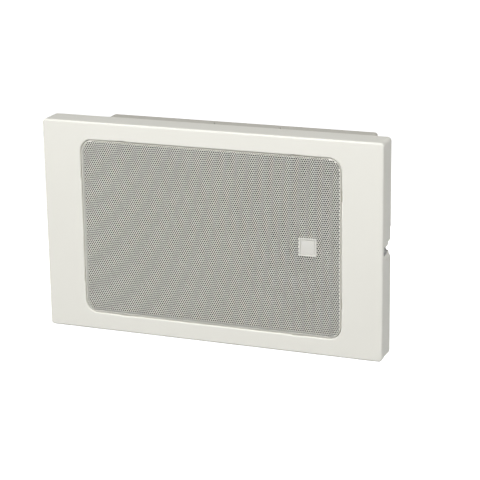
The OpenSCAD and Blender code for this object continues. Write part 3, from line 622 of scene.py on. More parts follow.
def settle(piece: bpy.types.Object, slot: str, nodes: tuple[str, ...] = (),
           body: str = HOUSING) -> bpy.types.Object:
    """Finishes a new piece: its look from a slot, its body and the solids that it stands for.

    Args:
        piece: the new piece.
        slot: the record's material slot.
        nodes: names of the solids that it replaces.
        body: name of the body that it rides on, or nothing where it rides on none.
    Returns:
        The piece.
    """
    dress(piece, slot)
    if body:
        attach(piece, body)
    if nodes:
        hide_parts(*nodes)
    LOG.info("%s: %d points, %d faces", piece.name, len(piece.data.vertices),
             len(piece.data.polygons))
    return piece


@dataclass(frozen=True)
class FrontPanel:
    """The pressed steel front: flange, rolled edges, window lip and side recesses, in mm.

    run and face_run are the short flat stretches beside a bend, lip_run the one where the sheet
    turns inside the lip. A nick is where the window's edge stands back beside a grille tab.
    """
    outer: Outline = Outline(310, 190, 3.5)
    window: Outline = Outline(238, 158, 11)
    face: float = 87.0
    back: float = 63.0
    sheet: float = 1.2
    edge_r: float = 1.8
    window_r: float = 1.3
    lip: float = 4.0
    run: float = 0.3
    face_run: float = 0.5
    lip_run: float = 0.4
    flange_steps: int = 32
    arc: int = 10
    screw_back: float = 10.0
    recess: float = 1.7
    recess_floor: float = 4.4
    recess_rim: float = 7.2
    recess_run: float = 9.0
    recess_steps: int = 45
    plain_y: float = 20.0
    slot_r: float = 2.25
    slot_steps: int = 17
    cut_in: float = 8.0
    cut_out: float = 3.0
    cut_below: float = 2.0
    tab_x: float = 80.0
    tab_y: float = 47.0
    tab_half: float = 4.5
    nick: float = 0.5
    play: float = 0.01

    def marks(self) -> Marks:
        """Where the loops' points stand.

        Returns:
            Marks close together at the recesses, with a pair at each end of every nick.
        """
        ends = np.array([-self.run, 0.0])
        nick = np.concatenate((ends - self.tab_half, -ends[::-1] + self.tab_half))
        run_x = self.window.width / 2 - self.window.radius
        run_y = self.window.height / 2 - self.window.radius
        x = np.concatenate(([-run_x], nick - self.tab_x, [0.0], nick + self.tab_x, [run_x]))
        middle = np.linspace(-self.recess_run, self.recess_run, self.recess_steps)
        y = np.concatenate(([-run_y], nick - self.tab_y, [-self.plain_y], middle, [self.plain_y],
                            nick + self.tab_y, [run_y]))
        return Marks(x, y, self.arc)

    def section(self) -> tuple[Array, Array]:
        """The sheet's closed section.

        It runs up the flange's outside, over the rolled edge, across the face and into the
        window's lip, and returns along the inside. Short runs beside each bend keep the flat
        parts flat in the shading.

        Returns:
            Rows of offset from the outline and height, and for each row whether the outline is
            the window's.
        """
        sheet, edge, window = self.sheet, self.edge_r, self.window_r
        flange = np.linspace(self.back, self.face - edge - self.run, self.flange_steps)
        outer = [(0.0, level) for level in flange]
        outer += bend(-edge, self.face - edge, edge, 0, 90)
        outer += [(-edge - self.face_run, self.face)]
        lip = [(window + self.face_run, self.face)]
        lip += bend(window, self.face - window, window, 90, 180)
        lip += [(0.0, self.face - window - self.run), (0.0, self.face - self.lip),
                (sheet, self.face - self.lip), (sheet, self.face - sheet - self.lip_run),
                (sheet + self.lip_run, self.face - sheet)]
        inner = [(-edge - self.face_run, self.face - sheet)]
        inner += bend(-edge, self.face - edge, edge - sheet, 90, 0)
        inner += [(-sheet, level) for level in flange[::-1]]
        rows = np.array(outer + lip + inner)
        of_window = np.zeros(len(rows), bool)
        of_window[len(outer):len(outer) + len(lip)] = True
        return rows, of_window

    def pressed(self, points: Array) -> Array:
        """Presses the recesses for the side screws into both skins of the flange.

        The depth falls off with the distance from the slot's middle line: that line runs from
        the screw straight back, so nearer the face the distance is taken from the screw.

        Args:
            points: rows of x, y, z of the outer outline's loops.
        Returns:
            The same rows, moved towards the middle.
        """
        ahead = np.maximum(0, points[:, 2] - (self.face - self.screw_back))
        away = np.hypot(points[:, 1], ahead)
        share = smooth_step((self.recess_rim - away) / (self.recess_rim - self.recess_floor))
        side = np.abs(points[:, 0]) > self.outer.width / 2 - 2 * self.sheet
        moved = points.copy()
        moved[:, 0] -= np.sign(points[:, 0]) * side * share * self.recess
        return moved

    def nicks(self, marks: Marks) -> Array:
        """How far the window's edge stands back beside the grille's tabs.

        Args:
            marks: where the window's points are.
        Returns:
            A distance for each point.
        """
        run = np.array([self.window.width, self.window.height]) / 2 - self.window.radius
        core, normal = marks.core(*run), marks.normals()
        along = np.where(np.abs(normal[:, 0]) > 0.5, core[:, 1], core[:, 0])
        tab = np.where(np.abs(normal[:, 0]) > 0.5, self.tab_y, self.tab_x)
        straight = np.isclose(np.abs(normal).max(axis=1), 1)
        return self.nick * (straight & (np.abs(np.abs(along) - tab) <= self.tab_half + self.play))

    def slot_cutter(self) -> bpy.types.Object:
        """The solid that cuts the U-shaped slot through the floor of both recesses.

        Its section is a half circle round the screw with straight sides down from it.

        Returns:
            The solid, as an object that is deleted after the cut.
        """
        angle = np.linspace(0, np.pi, self.slot_steps)
        level = self.face - self.screw_back
        arch = np.column_stack((self.slot_r * np.cos(angle), level + self.slot_r * np.sin(angle)))
        below = self.back - self.cut_below
        shape = np.vstack((arch, [[-self.slot_r, below], [self.slot_r, below]]))
        count = len(shape)
        inner, outer = self.outer.width / 2 - self.cut_in, self.outer.width / 2 + self.cut_out
        points = np.vstack([np.column_stack((np.full(count, x), shape))
                            for x in (inner, outer, -outer, -inner)])
        near, far = np.arange(count), np.arange(count) + count
        walls = np.column_stack((near, np.roll(near, -1), np.roll(far, -1), far))[:, ::-1]
        ends = np.stack((near, far[::-1]))
        return make_piece("slot_cutter", points, [walls, walls + 2 * count, ends[:, ::-1],
                                                  ends[:, ::-1] + 2 * count])

    def build(self) -> None:
        """Makes the panel and lets it stand for its solid."""
        marks = self.marks()
        rows, of_window = self.section()
        nicks = self.nicks(marks)[:, None] * marks.normals()
        loops = []
        for (offset, level), window in zip(rows, of_window):
            base = self.window if window else self.outer
            loop = base.grown(offset).loop(marks, level)
            if window:
                loop[:, :2] += nicks
            loops.append(loop if window else self.pressed(loop))
        panel = make_piece("front_sheet", np.vstack(loops), [ring_faces(len(loops), len(nicks))])
        cutter = self.slot_cutter()
        cut = panel.modifiers.new("slots", "BOOLEAN")
        cut.operation, cut.object, cut.solver = "DIFFERENCE", cutter, "EXACT"
        graph = bpy.context.evaluated_depsgraph_get()
        mesh = bpy.data.meshes.new_from_object(panel.evaluated_get(graph))
        panel.modifiers.clear()
        panel.data = mesh
        bpy.data.objects.remove(cutter)
        soften(mesh, CREASE)
        settle(panel, "paint", ("front_panel",))


@dataclass(frozen=True)
class PerforatedGrille:
    """The perforated sheet, worked out flat and then rolled over at its edge, in mm.

    reach is how far onto the roll a hole's centre may lie, badge the middle of the badge and
    how far from it the holes stop, snap the fineness of the grid that points are rounded to,
    and free the shares of the roll at which bare points bend the sheet.
    """
    outline: Outline = Outline(237, 157, 10.5)
    sheet: float = 0.8
    face: float = 86.6
    edge_r: float = 1.2
    rim: float = 6.0
    pitch: float = 2.0
    hole: float = 1.72
    sides: int = 8
    reach: float = 0.65
    badge: tuple[float, float, float] = (89.7, 0.5, 7.2)
    half_rows: int = 50
    half_columns: int = 64
    parts: int = 3
    crease: float = 40.0
    rim_step: float = 3.0
    rim_arc: int = 12
    rim_band: float = 0.6
    free: tuple[float, ...] = (0.3, 0.53, 0.77)
    free_run: tuple[float, float] = (110.0, 70.0)
    free_step: float = 1.0
    free_arc: int = 10
    free_gap: float = 0.35
    chunks: int = 12
    snap: float = 512.0
    key: int = 1_000_000
    tab: Outline = Outline(8.0, 4.5, 1.2)
    tab_marks: tuple[float, float, int] = (2.4, 0.7, 4)
    tab_soft: float = 0.15
    tab_out: float = 1.6
    tab_level: float = 82.2
    tab_x: float = 80.0
    tab_y: float = 47.0

    @property
    def flat(self) -> Outline:
        """The outline where the sheet starts to roll."""
        return self.outline.grown(-self.edge_r)

    @property
    def roll_length(self) -> float:
        """Length of the sheet in the rolled edge: a quarter of a circle."""
        return self.edge_r * math.pi / 2

    @property
    def row_step(self) -> float:
        """Distance between the rows of holes: the height of a triangle of three."""
        return self.pitch * math.sqrt(3) / 2

    def snapped(self, points: Array) -> Array:
        """Points on a fine grid, so that neighbours share their corners exactly."""
        return np.round(points * self.snap) / self.snap

    def centres(self) -> Array:
        """Centres of the holes, in rows that shift by half a pitch in turn.

        Returns:
            Rows of x and y, clear of the badge and of the roll.
        """
        rows = np.arange(-self.half_rows, self.half_rows + 1)
        columns = np.arange(-self.half_columns, self.half_columns + 1)
        x = columns[None, :] * self.pitch + (rows[:, None] % 2) * self.pitch / 2
        y = rows[:, None] * self.row_step + 0 * x
        places = np.column_stack((x.ravel(), y.ravel()))
        return places[self.holed(places)]

    def holed(self, places: Array) -> Array:
        """Whether a hole is punched: not too far onto the roll, and clear of the badge.

        Args:
            places: rows of x and y.
        Returns:
            True or false for each place.
        """
        distance, _ = self.flat.beyond(places)
        badge_x, badge_y, clear = self.badge
        away = np.maximum(np.abs(places[:, 0] - badge_x), np.abs(places[:, 1] - badge_y))
        return (distance <= self.reach) & (away > clear)

    def in_field(self, points: Array) -> Array:
        """Whether points lie in the six-sided cell of a punched hole.

        The cells are the regions nearest to each centre, so the nearest centre decides.

        Args:
            points: rows of x and y.
        Returns:
            True or false for each point.
        """
        near_row = np.round(points[:, 1] / self.row_step)[:, None] + np.array([[-1, 0, 1]])
        shift = (near_row % 2) * self.pitch / 2
        near_x = np.round((points[:, :1] - shift) / self.pitch) * self.pitch + shift
        near_y = near_row * self.row_step
        best = np.argmin((points[:, :1] - near_x) ** 2 + (points[:, 1:] - near_y) ** 2, axis=1)
        pick = np.arange(len(points))
        return self.holed(np.column_stack((near_x[pick, best], near_y[pick, best])))

    def cell(self) -> tuple[Array, Array]:
        """One cell: a six-sided web round a hole.

        Both rings are walked round by angle, and each step of either ring adds a triangle.

        Returns:
            Corners about the centre, the six outer ones first, and the triangles.
        """
        six = np.arange(6) * math.pi / 3 + math.pi / 6
        ring = np.arange(self.sides) * 2 * math.pi / self.sides + math.pi / self.sides
        reach = self.pitch / math.sqrt(3)
        corners = np.vstack((reach * np.column_stack((np.cos(six), np.sin(six))),
                             self.hole / 2 * np.column_stack((np.cos(ring), np.sin(ring)))))
        step_angle = np.concatenate(((np.arange(6) + 1) / 6,
                                     (np.arange(self.sides) + 1) / self.sides))
        is_web = np.arange(6 + self.sides) < 6
        order = np.argsort(step_angle, kind="stable")
        is_web = is_web[order]
        web = np.cumsum(is_web) - is_web
        hole = np.cumsum(~is_web) - ~is_web
        outer, inner = web % 6, 6 + hole % self.sides
        third = np.where(is_web, (web + 1) % 6, inner)
        across = np.where(is_web, third, 6 + (hole + 1) % self.sides)
        return corners, np.column_stack((outer, across, inner))

    def border(self, cells: Array) -> Array:
        """Triangles of the bare sheet between the field of holes and the rolled edge's end.

        Args:
            cells: corners of each cell's six sides, snapped.
        Returns:
            Corners of the triangles.
        """
        start, end = cells.reshape(-1, 2), np.roll(cells, -1, axis=1).reshape(-1, 2)
        low = np.where((start[:, :1] < end[:, :1])
                       | ((start[:, :1] == end[:, :1]) & (start[:, 1:] < end[:, 1:])), start, end)
        high = start + end - low
        pairs, uses = np.unique(np.hstack((low, high)), axis=0, return_counts=True)
        open_sides = pairs[uses == 1]
        loop = self.snapped(self.flat.grown(self.roll_length).loop(self.rim_marks(), 0)[:, :2])
        marks = even_marks(*self.free_run, self.free_step, self.free_arc)
        free = np.vstack([self.flat.grown(share * self.roll_length).loop(marks, 0)[:, :2]
                          for share in self.free])
        free = self.snapped(free[~self.in_field(free) & self.clear_of(free, open_sides)])
        ring = np.hstack((loop, np.roll(loop, -1, axis=0)))
        ends = np.vstack((open_sides, ring)).reshape(-1, 2)
        places, number = np.unique(ends, axis=0, return_inverse=True)
        edges = number.reshape(-1, 2)
        points, faces = triangulated(np.vstack((places, free)), edges)
        triangles = self.snapped(points[faces])
        middle = triangles.mean(axis=1)
        beyond, _ = self.flat.beyond(middle)
        return triangles[~self.in_field(middle) & (beyond < self.roll_length)]

    def clear_of(self, points: Array, sides: Array) -> Array:
        """Whether points keep the free gap from the middles and ends of some sides.

        Args:
            points: rows of x and y.
            sides: rows of two ends, each as x and y.
        Returns:
            True or false for each point.
        """
        marks = np.vstack((sides[:, :2], sides[:, 2:], (sides[:, :2] + sides[:, 2:]) / 2))
        clear = np.ones(len(points), bool)
        for chunk in np.array_split(np.arange(len(marks)), self.chunks):
            gap = np.linalg.norm(points[:, None] - marks[None, chunk], axis=-1).min(axis=1)
            clear &= gap > self.free_gap
        return clear

    def rim_marks(self) -> Marks:
        """Points along the folded rim."""
        return even_marks(self.flat.width / 2 - self.flat.radius,
                          self.flat.height / 2 - self.flat.radius, self.rim_step, self.rim_arc)

    def folded(self) -> Array:
        """The straight part of the rim, in two bands.

        Returns:
            Corners of its triangles, on the flat sheet.
        """
        end = self.roll_length + self.rim - self.edge_r
        loops = [self.snapped(self.flat.grown(depth).loop(self.rim_marks(), 0)[:, :2])
                 for depth in (self.roll_length, self.roll_length + self.rim_band, end)]
        points = np.vstack(loops)
        quads = ring_faces(len(loops), len(loops[0]), closed=False)[:, ::-1]
        return points[np.vstack((quads[:, :3], quads[:, [0, 2, 3]]))]

    def rolled(self, points: Array, inside: bool) -> Array:
        """Rolls flat points over the edge.

        Up to the flat outline nothing moves. Beyond it a length along the sheet becomes an
        angle round the roll, and after a quarter turn it runs straight back.

        Args:
            points: rows of x and y on the flat sheet.
            inside: whether they are on the inner skin, a sheet's thickness nearer the centre.
        Returns:
            Rows of x, y, z.
        """
        length, direction = self.flat.beyond(points)
        length = np.maximum(length, 0)
        angle = np.minimum(length / self.edge_r, math.pi / 2)
        straight = np.maximum(length - self.roll_length, 0)
        radius = self.edge_r - (self.sheet if inside else 0)
        foot = points - direction * length[:, None]
        side = foot + direction * (radius * np.sin(angle))[:, None]
        level = self.face - self.edge_r + radius * np.cos(angle) - straight
        return np.column_stack((side, level))

    def build(self) -> list[bpy.types.Object]:
        """Makes the grille in parts, side by side, and its tabs.

        Flat triangles share their corners by the corners' places on the fine grid. Each part
        takes those whose middle lies in its share of the width, and is then rolled.

        Returns:
            The parts from left to right, and the tabs.
        """
        corners, template = self.cell()
        centres = self.centres()
        cells = self.snapped(centres[:, None] + corners)
        punched = cells[:, template].reshape(-1, 3, 2)
        bare = np.vstack((self.border(cells[:, :6]), self.folded()))
        place_x = np.concatenate((np.repeat(centres[:, 0], len(template)),
                                  bare[:, :, 0].mean(axis=1)))
        triangles = np.vstack((punched, bare))
        keys = np.round(triangles.reshape(-1, 2) * self.snap).astype(np.int64)
        code = keys[:, 0] * self.key + keys[:, 1]
        _, first, number = np.unique(code, return_index=True, return_inverse=True)
        points = triangles.reshape(-1, 2)[first]
        faces = number.reshape(-1, 3)
        cuts = np.linspace(-1, 1, self.parts + 1)[1:-1] * self.outline.width / 2
        part_of = np.digitize(place_x, cuts)
        pieces = []
        for part in range(self.parts):
            chosen = faces[part_of == part]
            used, renumbered = np.unique(chosen, return_inverse=True)
            flat = points[used]
            all_points, skins, walls = two_sided(
                renumbered.reshape(-1, 3), self.rolled(flat, False), self.rolled(flat, True))
            piece = make_piece(f"grille_sheet_{part + 1}", all_points, [skins, walls],
                               self.crease)
            pieces.append(settle(piece, "grille", ("grille",)))
        pieces.append(self.build_tabs())
        return pieces

    def build_tabs(self) -> bpy.types.Object:
        """Makes the eight tabs that hook behind the window's lip, with rounded ends.

        Returns:
            The tabs, as one piece.
        """
        mark_x, mark_y, arc = self.tab_marks
        marks = Marks(np.array([-mark_x, mark_x]), np.array([-mark_y, mark_y]), arc)
        soft = self.tab_soft
        levels = ((-soft, 0.0), (0.0, soft), (0.0, self.sheet - soft), (-soft, self.sheet))
        loops = [self.tab.grown(offset).loop(marks, self.tab_level + rise)
                 for offset, rise in levels]
        tab = np.vstack(loops)
        out_x, out_y = (half / 2 + self.tab_out for half in (self.outline.width,
                                                             self.outline.height))
        spots = [(x, side * out_y, 0.0) for x in (-self.tab_x, self.tab_x) for side in (-1, 1)]
        spots += [(side * out_x, y, 1.0) for y in (-self.tab_y, self.tab_y) for side in (-1, 1)]
        turned = np.column_stack((-tab[:, 1], tab[:, 0], tab[:, 2]))
        copies = [(turned if across else tab) + [x, y, 0] for x, y, across in spots]
        faces = [np.vstack([group + index * len(tab) for index in range(len(spots))])
                 for group in capped(len(loops), len(loops[0]))]
        return settle(make_piece("grille_tabs", np.vstack(copies), faces), "grille", ("grille",))


@dataclass(frozen=True)
class Badge:
    """The bare square badge: a field inside a raised rim and a groove, in mm.

    soft is the width of the rim's bevels, and a corner of each bevel stands at the share
    bevel of it. draft is how far the sides of the groove lean.
    """
    shape: Outline = Outline(16, 16, 0.7)
    place: tuple[float, float] = (89.7, 0.5)
    foot: float = 86.6
    height: float = 1.1
    rim: float = 1.4
    field_height: float = 0.45
    groove: float = 0.7
    groove_depth: float = 0.4
    soft: float = 0.22
    bevel: float = 0.3
    draft: float = 0.05
    foot_bevel: float = 0.1
    mark: float = 5.0
    arc: int = 6
    least_r: float = 0.15

    def build(self) -> None:
        """Makes the badge from loops: up the outside, over the rim, through the groove inside it
        and on to the field.
        """
        ends = np.array([-self.mark, self.mark])
        marks = Marks(ends, ends, self.arc)
        top, low, soft = self.foot + self.height, self.foot + self.field_height, self.soft
        corner, floor, inside = soft * self.bevel, low - self.groove_depth, -self.rim - self.groove
        section = [(-soft / 2, self.foot), (0.0, self.foot + self.foot_bevel), (0.0, top - soft),
                   (-corner, top - corner), (-soft, top), (soft - self.rim, top),
                   (corner - self.rim, top - corner), (-self.rim, top - soft),
                   (-self.rim - self.draft, floor), (inside + 2 * self.draft, floor),
                   (inside, low - corner), (inside - soft, low)]
        loops = []
        for offset, level in section:
            radius = max(self.least_r, self.shape.radius + offset / 2)
            width, height = self.shape.width + 2 * offset, self.shape.height + 2 * offset
            loops.append(Outline(width, height, radius).loop(marks, level))
        points = np.vstack(loops) + [*self.place, 0.0]
        settle(make_piece("badge_plate", points, capped(len(loops), len(loops[0]))),
               "badge_plastic", ("badge",))


@dataclass(frozen=True)
class AcousticCloth:
    """The cloth behind the grille, in mm.

    columns and rows are its grid, dip how far it sinks between the threads, and dip_x and
    dip_y set the size of the dips.
    """
    outline: Outline = Outline(231.8, 151.8, 7.9)
    level: float = 85.3
    thick: float = 0.5
    columns: int = 71
    rows: int = 47
    dip: float = 0.03
    dip_x: float = 7.0
    dip_y: float = 6.0

    def build(self, rests_on: list[str]) -> None:
        """The cloth: a stretched sheet glued behind the grille.

        A square grid is fitted to the round corners: in each corner's square, a point keeps its
        larger coordinate as its distance from the corner's centre. The dips are a product of
        two sines, one along each side.

        Args:
            rests_on: names of the grille's parts; not used.
        """
        size = np.array([self.outline.width, self.outline.height])
        u, v = np.meshgrid(np.linspace(-1, 1, self.columns), np.linspace(-1, 1, self.rows))
        flat = np.column_stack((u.ravel(), v.ravel())) * size / 2
        over = np.abs(flat) - (size / 2 - self.outline.radius)
        corner = (over > 0).all(axis=1)
        scale = np.where(corner, over.max(axis=1) / np.maximum(np.hypot(*over.T), 1e-9), 1.0)
        pulled = np.abs(flat) - over + over * scale[:, None]
        flat = np.where(corner[:, None], np.sign(flat) * pulled, flat)
        dip = self.dip * np.sin(flat[:, 0] / self.dip_x) * np.sin(flat[:, 1] / self.dip_y)
        top = np.column_stack((flat, self.level + self.thick + np.minimum(dip, 0)))
        low = np.column_stack((flat, self.level + dip))
        index = np.arange(u.size).reshape(u.shape)
        quads = np.stack((index[:-1, :-1], index[:-1, 1:], index[1:, 1:], index[1:, :-1]),
                         axis=-1).reshape(-1, 4)
        points, skins, walls = two_sided(quads, top, low)
        cloth = settle(make_piece("speaker_cloth", points, [skins, walls]), "cloth",
                       ("acoustic_cloth",))
        corner_loss = (4 - math.pi) * self.outline.radius ** 2
        area = (self.outline.width * self.outline.height - corner_loss) * MM * MM
        self.outline.width * MM
        self.outline.height * MM


@dataclass(frozen=True)
class FoamFrame:
    """The foam frame between the grille's rim and the baffle, in mm.

    edge is the height of its rounded edges, and bulge and inner_bulge how far its sides stand
    out. Over the driver's rim its underside steps up by rim_t, within the length step, and
    keeps lift above it. Points less than near above it keep the share spread of their height.
    """
    outline: Outline = Outline(238.6, 158.6, 11.3)
    width: float = 6.0
    low: float = 72.0
    high: float = 80.6
    edge: float = 0.4
    bulge: float = 0.15
    inner_bulge: float = 0.1
    rim_r: float = 80.3
    rim_t: float = 1.0
    step: float = 1.2
    lift: float = 0.02
    near: float = 1.0
    spread: float = 0.5
    half_run: tuple[float, float] = (106.0, 66.0)
    mark_step: float = 1.5
    arc: int = 10

    def build(self) -> None:
        """Makes the frame: loops of its rounded section, raised over the driver's rim."""
        marks = even_marks(*self.half_run, self.mark_step, self.arc)
        w, low, high, edge = self.width, self.low, self.high, self.edge
        middle = (low + high) / 2
        section = [(-edge / 2, low), (0.0, low + edge), (self.bulge, middle), (0.0, high - edge),
                   (-2 * self.bulge, high), (2 * self.bulge - w, high), (-w, high - edge),
                   (-w - self.inner_bulge, middle), (-w, low + edge), (edge / 2 - w, low)]
        loops = [self.outline.grown(offset).loop(marks, level) for offset, level in section]
        points = np.vstack(loops)
        beyond = self.rim_r + self.step - np.hypot(points[:, 0], points[:, 1])
        over_rim = smooth_step(beyond / self.step)
        height = points[:, 2] - low
        kept = self.spread * height * (over_rim > 0) * (height < self.near)
        points[:, 2] = np.maximum(points[:, 2], low + self.rim_t * over_rim + self.lift + kept)
        foam = settle(make_piece("foam_surround", points, [ring_faces(len(loops), len(loops[0]))]),
                      "foam", ("foam_frame",))


@dataclass(frozen=True)
class MouthSeal:
    """The foam seal between the box and the baffle, bulging where it is squeezed, in mm."""
    outer: Outline = Outline(269, 184, 2.6)
    inner: Outline = Outline(251, 166, 2.6)
    low: float = 69.0
    high: float = 70.4
    bulge: float = 0.25
    half_run: tuple[float, float] = (120.0, 78.0)
    mark_step: float = 6.0
    arc: int = 6

    def build(self) -> None:
        """Makes the seal from loops up its outside and down its inside."""
        marks = even_marks(*self.half_run, self.mark_step, self.arc)
        side = ((0.0, self.low), (self.bulge, (self.low + self.high) / 2), (0.0, self.high))
        loops = [self.outer.grown(offset).loop(marks, level) for offset, level in side]
        loops += [self.inner.grown(-offset).loop(marks, level) for offset, level in side[::-1]]
        seal = settle(make_piece("mouth_seal", np.vstack(loops),
                                 [ring_faces(len(loops), len(loops[0]))]), "foam", ("box_seal",))


@dataclass(frozen=True)
class FeltPad:
    """The felt on the back of the box, with a hole for the magnet and two cuts, in mm.

    holes are the middle, radius and number of points of the hole and of the cuts round the
    wall screws. Inner points lie on a grid of step, each moved by up to jitter, and keep inset
    from the edges. thin is the share of the thickness that is left at a cut edge, swell the
    width over which it grows to the whole, and ripple the depth of its unevenness, whose size
    ripple_x and ripple_y set.
    """
    left: float = -118.3
    right: float = 50.0
    half_y: float = 77.8
    low: float = 1.2
    thick: float = 8.0
    holes: tuple[tuple[float, float, float, int], ...] = (
        (0.0, 0.0, 44.0, 96), (-100.0, -60.0, 8.6, 24), (-100.0, 60.0, 8.6, 24))
    steps_x: int = 56
    steps_y: int = 52
    step: float = 3.0
    first_y: float = 78.0
    jitter: float = 0.6
    seed: int = 7
    inset: float = 1.2
    thin: float = 0.72
    swell: float = 6.0
    ripple: float = 0.25
    ripple_x: float = 5.3
    ripple_y: float = 4.1

    def depth(self, points: Array) -> Array:
        """Distance of points inside the felt from its nearest edge, below 0 outside.

        The felt is a rectangle less its holes, so its depth is the least of the depths in each
        of these.

        Args:
            points: rows of x and y.
        Returns:
            A distance for each point.
        """
        x, y = points[:, 0], points[:, 1]
        inside = np.minimum(np.minimum(x - self.left, self.right - x), self.half_y - np.abs(y))
        for hole_x, hole_y, radius, _ in self.holes:
            inside = np.minimum(inside, np.hypot(x - hole_x, y - hole_y) - radius)
        return inside

    def loops(self) -> list[Array]:
        """The loops that bound the felt.

        Returns:
            The outline, counter-clockwise from its low left corner, and the holes.
        """
        x = np.linspace(self.left, self.right, self.steps_x + 1)
        y = np.linspace(-self.half_y, self.half_y, self.steps_y + 1)
        across, up = np.ones(self.steps_x), np.ones(self.steps_y)
        found = [np.vstack((np.column_stack((x[:-1], -self.half_y * across)),
                            np.column_stack((self.right * up, y[:-1])),
                            np.column_stack((x[:0:-1], self.half_y * across)),
                            np.column_stack((self.left * up, y[:0:-1]))))]
        for hole_x, hole_y, radius, count in self.holes:
            angle = np.linspace(0, 2 * np.pi, count, endpoint=False)
            found.append(np.column_stack((hole_x + radius * np.cos(angle),
                                          hole_y + radius * np.sin(angle))))
        return found

    def build(self) -> None:
        """Makes the felt: thickest in the middle of each stretch, rounded off at its edges."""
        loops, edges, start = self.loops(), [], 0
        for loop in loops:
            number = np.arange(len(loop)) + start
            edges.append(np.column_stack((number, np.roll(number, -1))))
            start += len(loop)
        inner = np.stack(np.meshgrid(np.arange(self.left, self.right, self.step),
                                     np.arange(-self.first_y, self.first_y, self.step)),
                         axis=-1).reshape(-1, 2)
        inner += np.random.default_rng(self.seed).uniform(-self.jitter, self.jitter, inner.shape)
        inner = inner[self.depth(inner) > self.inset]
        points, triangles = triangulated(np.vstack((*loops, inner)), np.vstack(edges))
        triangles = triangles[self.depth(points[triangles].mean(axis=1)) > 0]
        used, number = np.unique(triangles, return_inverse=True)
        flat = points[used]
        share = smooth_step(np.clip(self.depth(flat), 0, None) / self.swell)
        waves = np.sin(flat / [self.ripple_x, self.ripple_y]).prod(axis=1)
        ripple = self.ripple * waves
        height = np.minimum((self.thick + np.minimum(ripple, 0))
                            * (self.thin + (1 - self.thin) * share), self.thick)
        top = np.column_stack((flat, self.low + height))
        low = np.column_stack((flat, np.full(len(flat), self.low)))
        points, skins, walls = two_sided(number.reshape(-1, 3), top, low)
        felt = settle(make_piece("felt_pad", points, [skins, walls], CREASE_SOFT), "felt",
                      ("damping_felt",))


@dataclass(frozen=True)
class DriverSoftParts:
    """The surround in its two halves and the tinsel leads, in mm.

    A lead's middle line has the control points lead_path, as x and height, lead_y beside the
    middle. blend_x, in metres, is not used.
    """
    rim_level: float = 73.0
    outer_r: float = 71.0
    land: float = 6.0
    roll_r: float = 4.0
    thick: float = 0.5
    cone_land: float = 3.0
    foot_run: float = 0.4
    roll_end: float = 6.0
    roll_steps: int = 12
    steps: int = 120
    lead_r: float = 0.4185
    lead_y: float = 6.0
    lead_path: tuple[tuple[float, float], ...] = ((53.0, 48.6), (44.0, 49.6), (39.0, 53.3),
                                                  (32.0, 61.3))
    lead_steps: int = 61
    lead_sides: int = 10
    blend_x: tuple[float, float] = (0.051, 0.034)

    def half_roll(self, outer: bool) -> Array:
        """The closed section of half the surround, from its land to the top of its roll.

        Args:
            outer: whether it is the half that is glued to the basket.
        Returns:
            Rows of radius and height.
        """
        side = 1.0 if outer else -1.0
        middle = self.outer_r - self.land - self.roll_r
        angle = np.radians(np.linspace(90, self.roll_end, self.roll_steps))
        big = np.column_stack((middle + side * self.roll_r * np.cos(angle),
                               self.rim_level + self.roll_r * np.sin(angle)))
        small = np.column_stack((middle + side * (self.roll_r - self.thick) * np.cos(angle),
                                 self.rim_level + (self.roll_r - self.thick) * np.sin(angle)))
        end = middle + side * (self.roll_r + (self.land if outer else self.cone_land))
        upper = self.rim_level + self.thick
        foot = np.array([[middle + side * (self.roll_r + self.foot_run), upper],
                         [end, upper], [end, self.rim_level],
                         [middle + side * (self.roll_r - self.thick), self.rim_level]])
        rows = np.vstack((big, foot, small[::-1]))
        return rows if outer else rows[::-1]

    def build(self) -> None:
        """Makes the surround's halves and the leads."""
        for outer in (True, False):
            points, faces = revolve(self.half_roll(outer), self.steps)
            name = "surround_outer" if outer else "surround_inner"
            piece = make_piece(name, points, [faces], CREASE_THIN)
            settle(piece, "treated_cloth", ("surround",), HOUSING if outer else "")
            if not outer:
                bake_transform(piece)
        self.build_leads()

    def build_leads(self) -> None:
        """Two braided leads from the terminal strip to the cone's back, one smooth curve each.

        The middle line is a cubic curve with four control points.
        """
        share = np.linspace(0, 1, self.lead_steps)[:, None]
        rest = 1 - share
        radius = np.full(self.lead_steps, self.lead_r)
        points, faces, start = [], [[], [], []], 0
        for side in (-1, 1):
            a, b, c, d = (np.array((x, side * self.lead_y, level)) for x, level in self.lead_path)
            path = (rest ** 3 * a + 3 * rest ** 2 * share * b + 3 * rest * share ** 2 * c
                    + share ** 3 * d)
            one, groups = tube(path, radius, self.lead_sides)
            for held, group in zip(faces, groups):
                held.append(group + start)
            points.append(one)
            start += len(one)
        leads = make_piece("braided_leads", np.vstack(points),
                           [np.vstack(held) for held in faces])
        settle(leads, "copper", ("tinsel_leads",), "")
        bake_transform(leads)


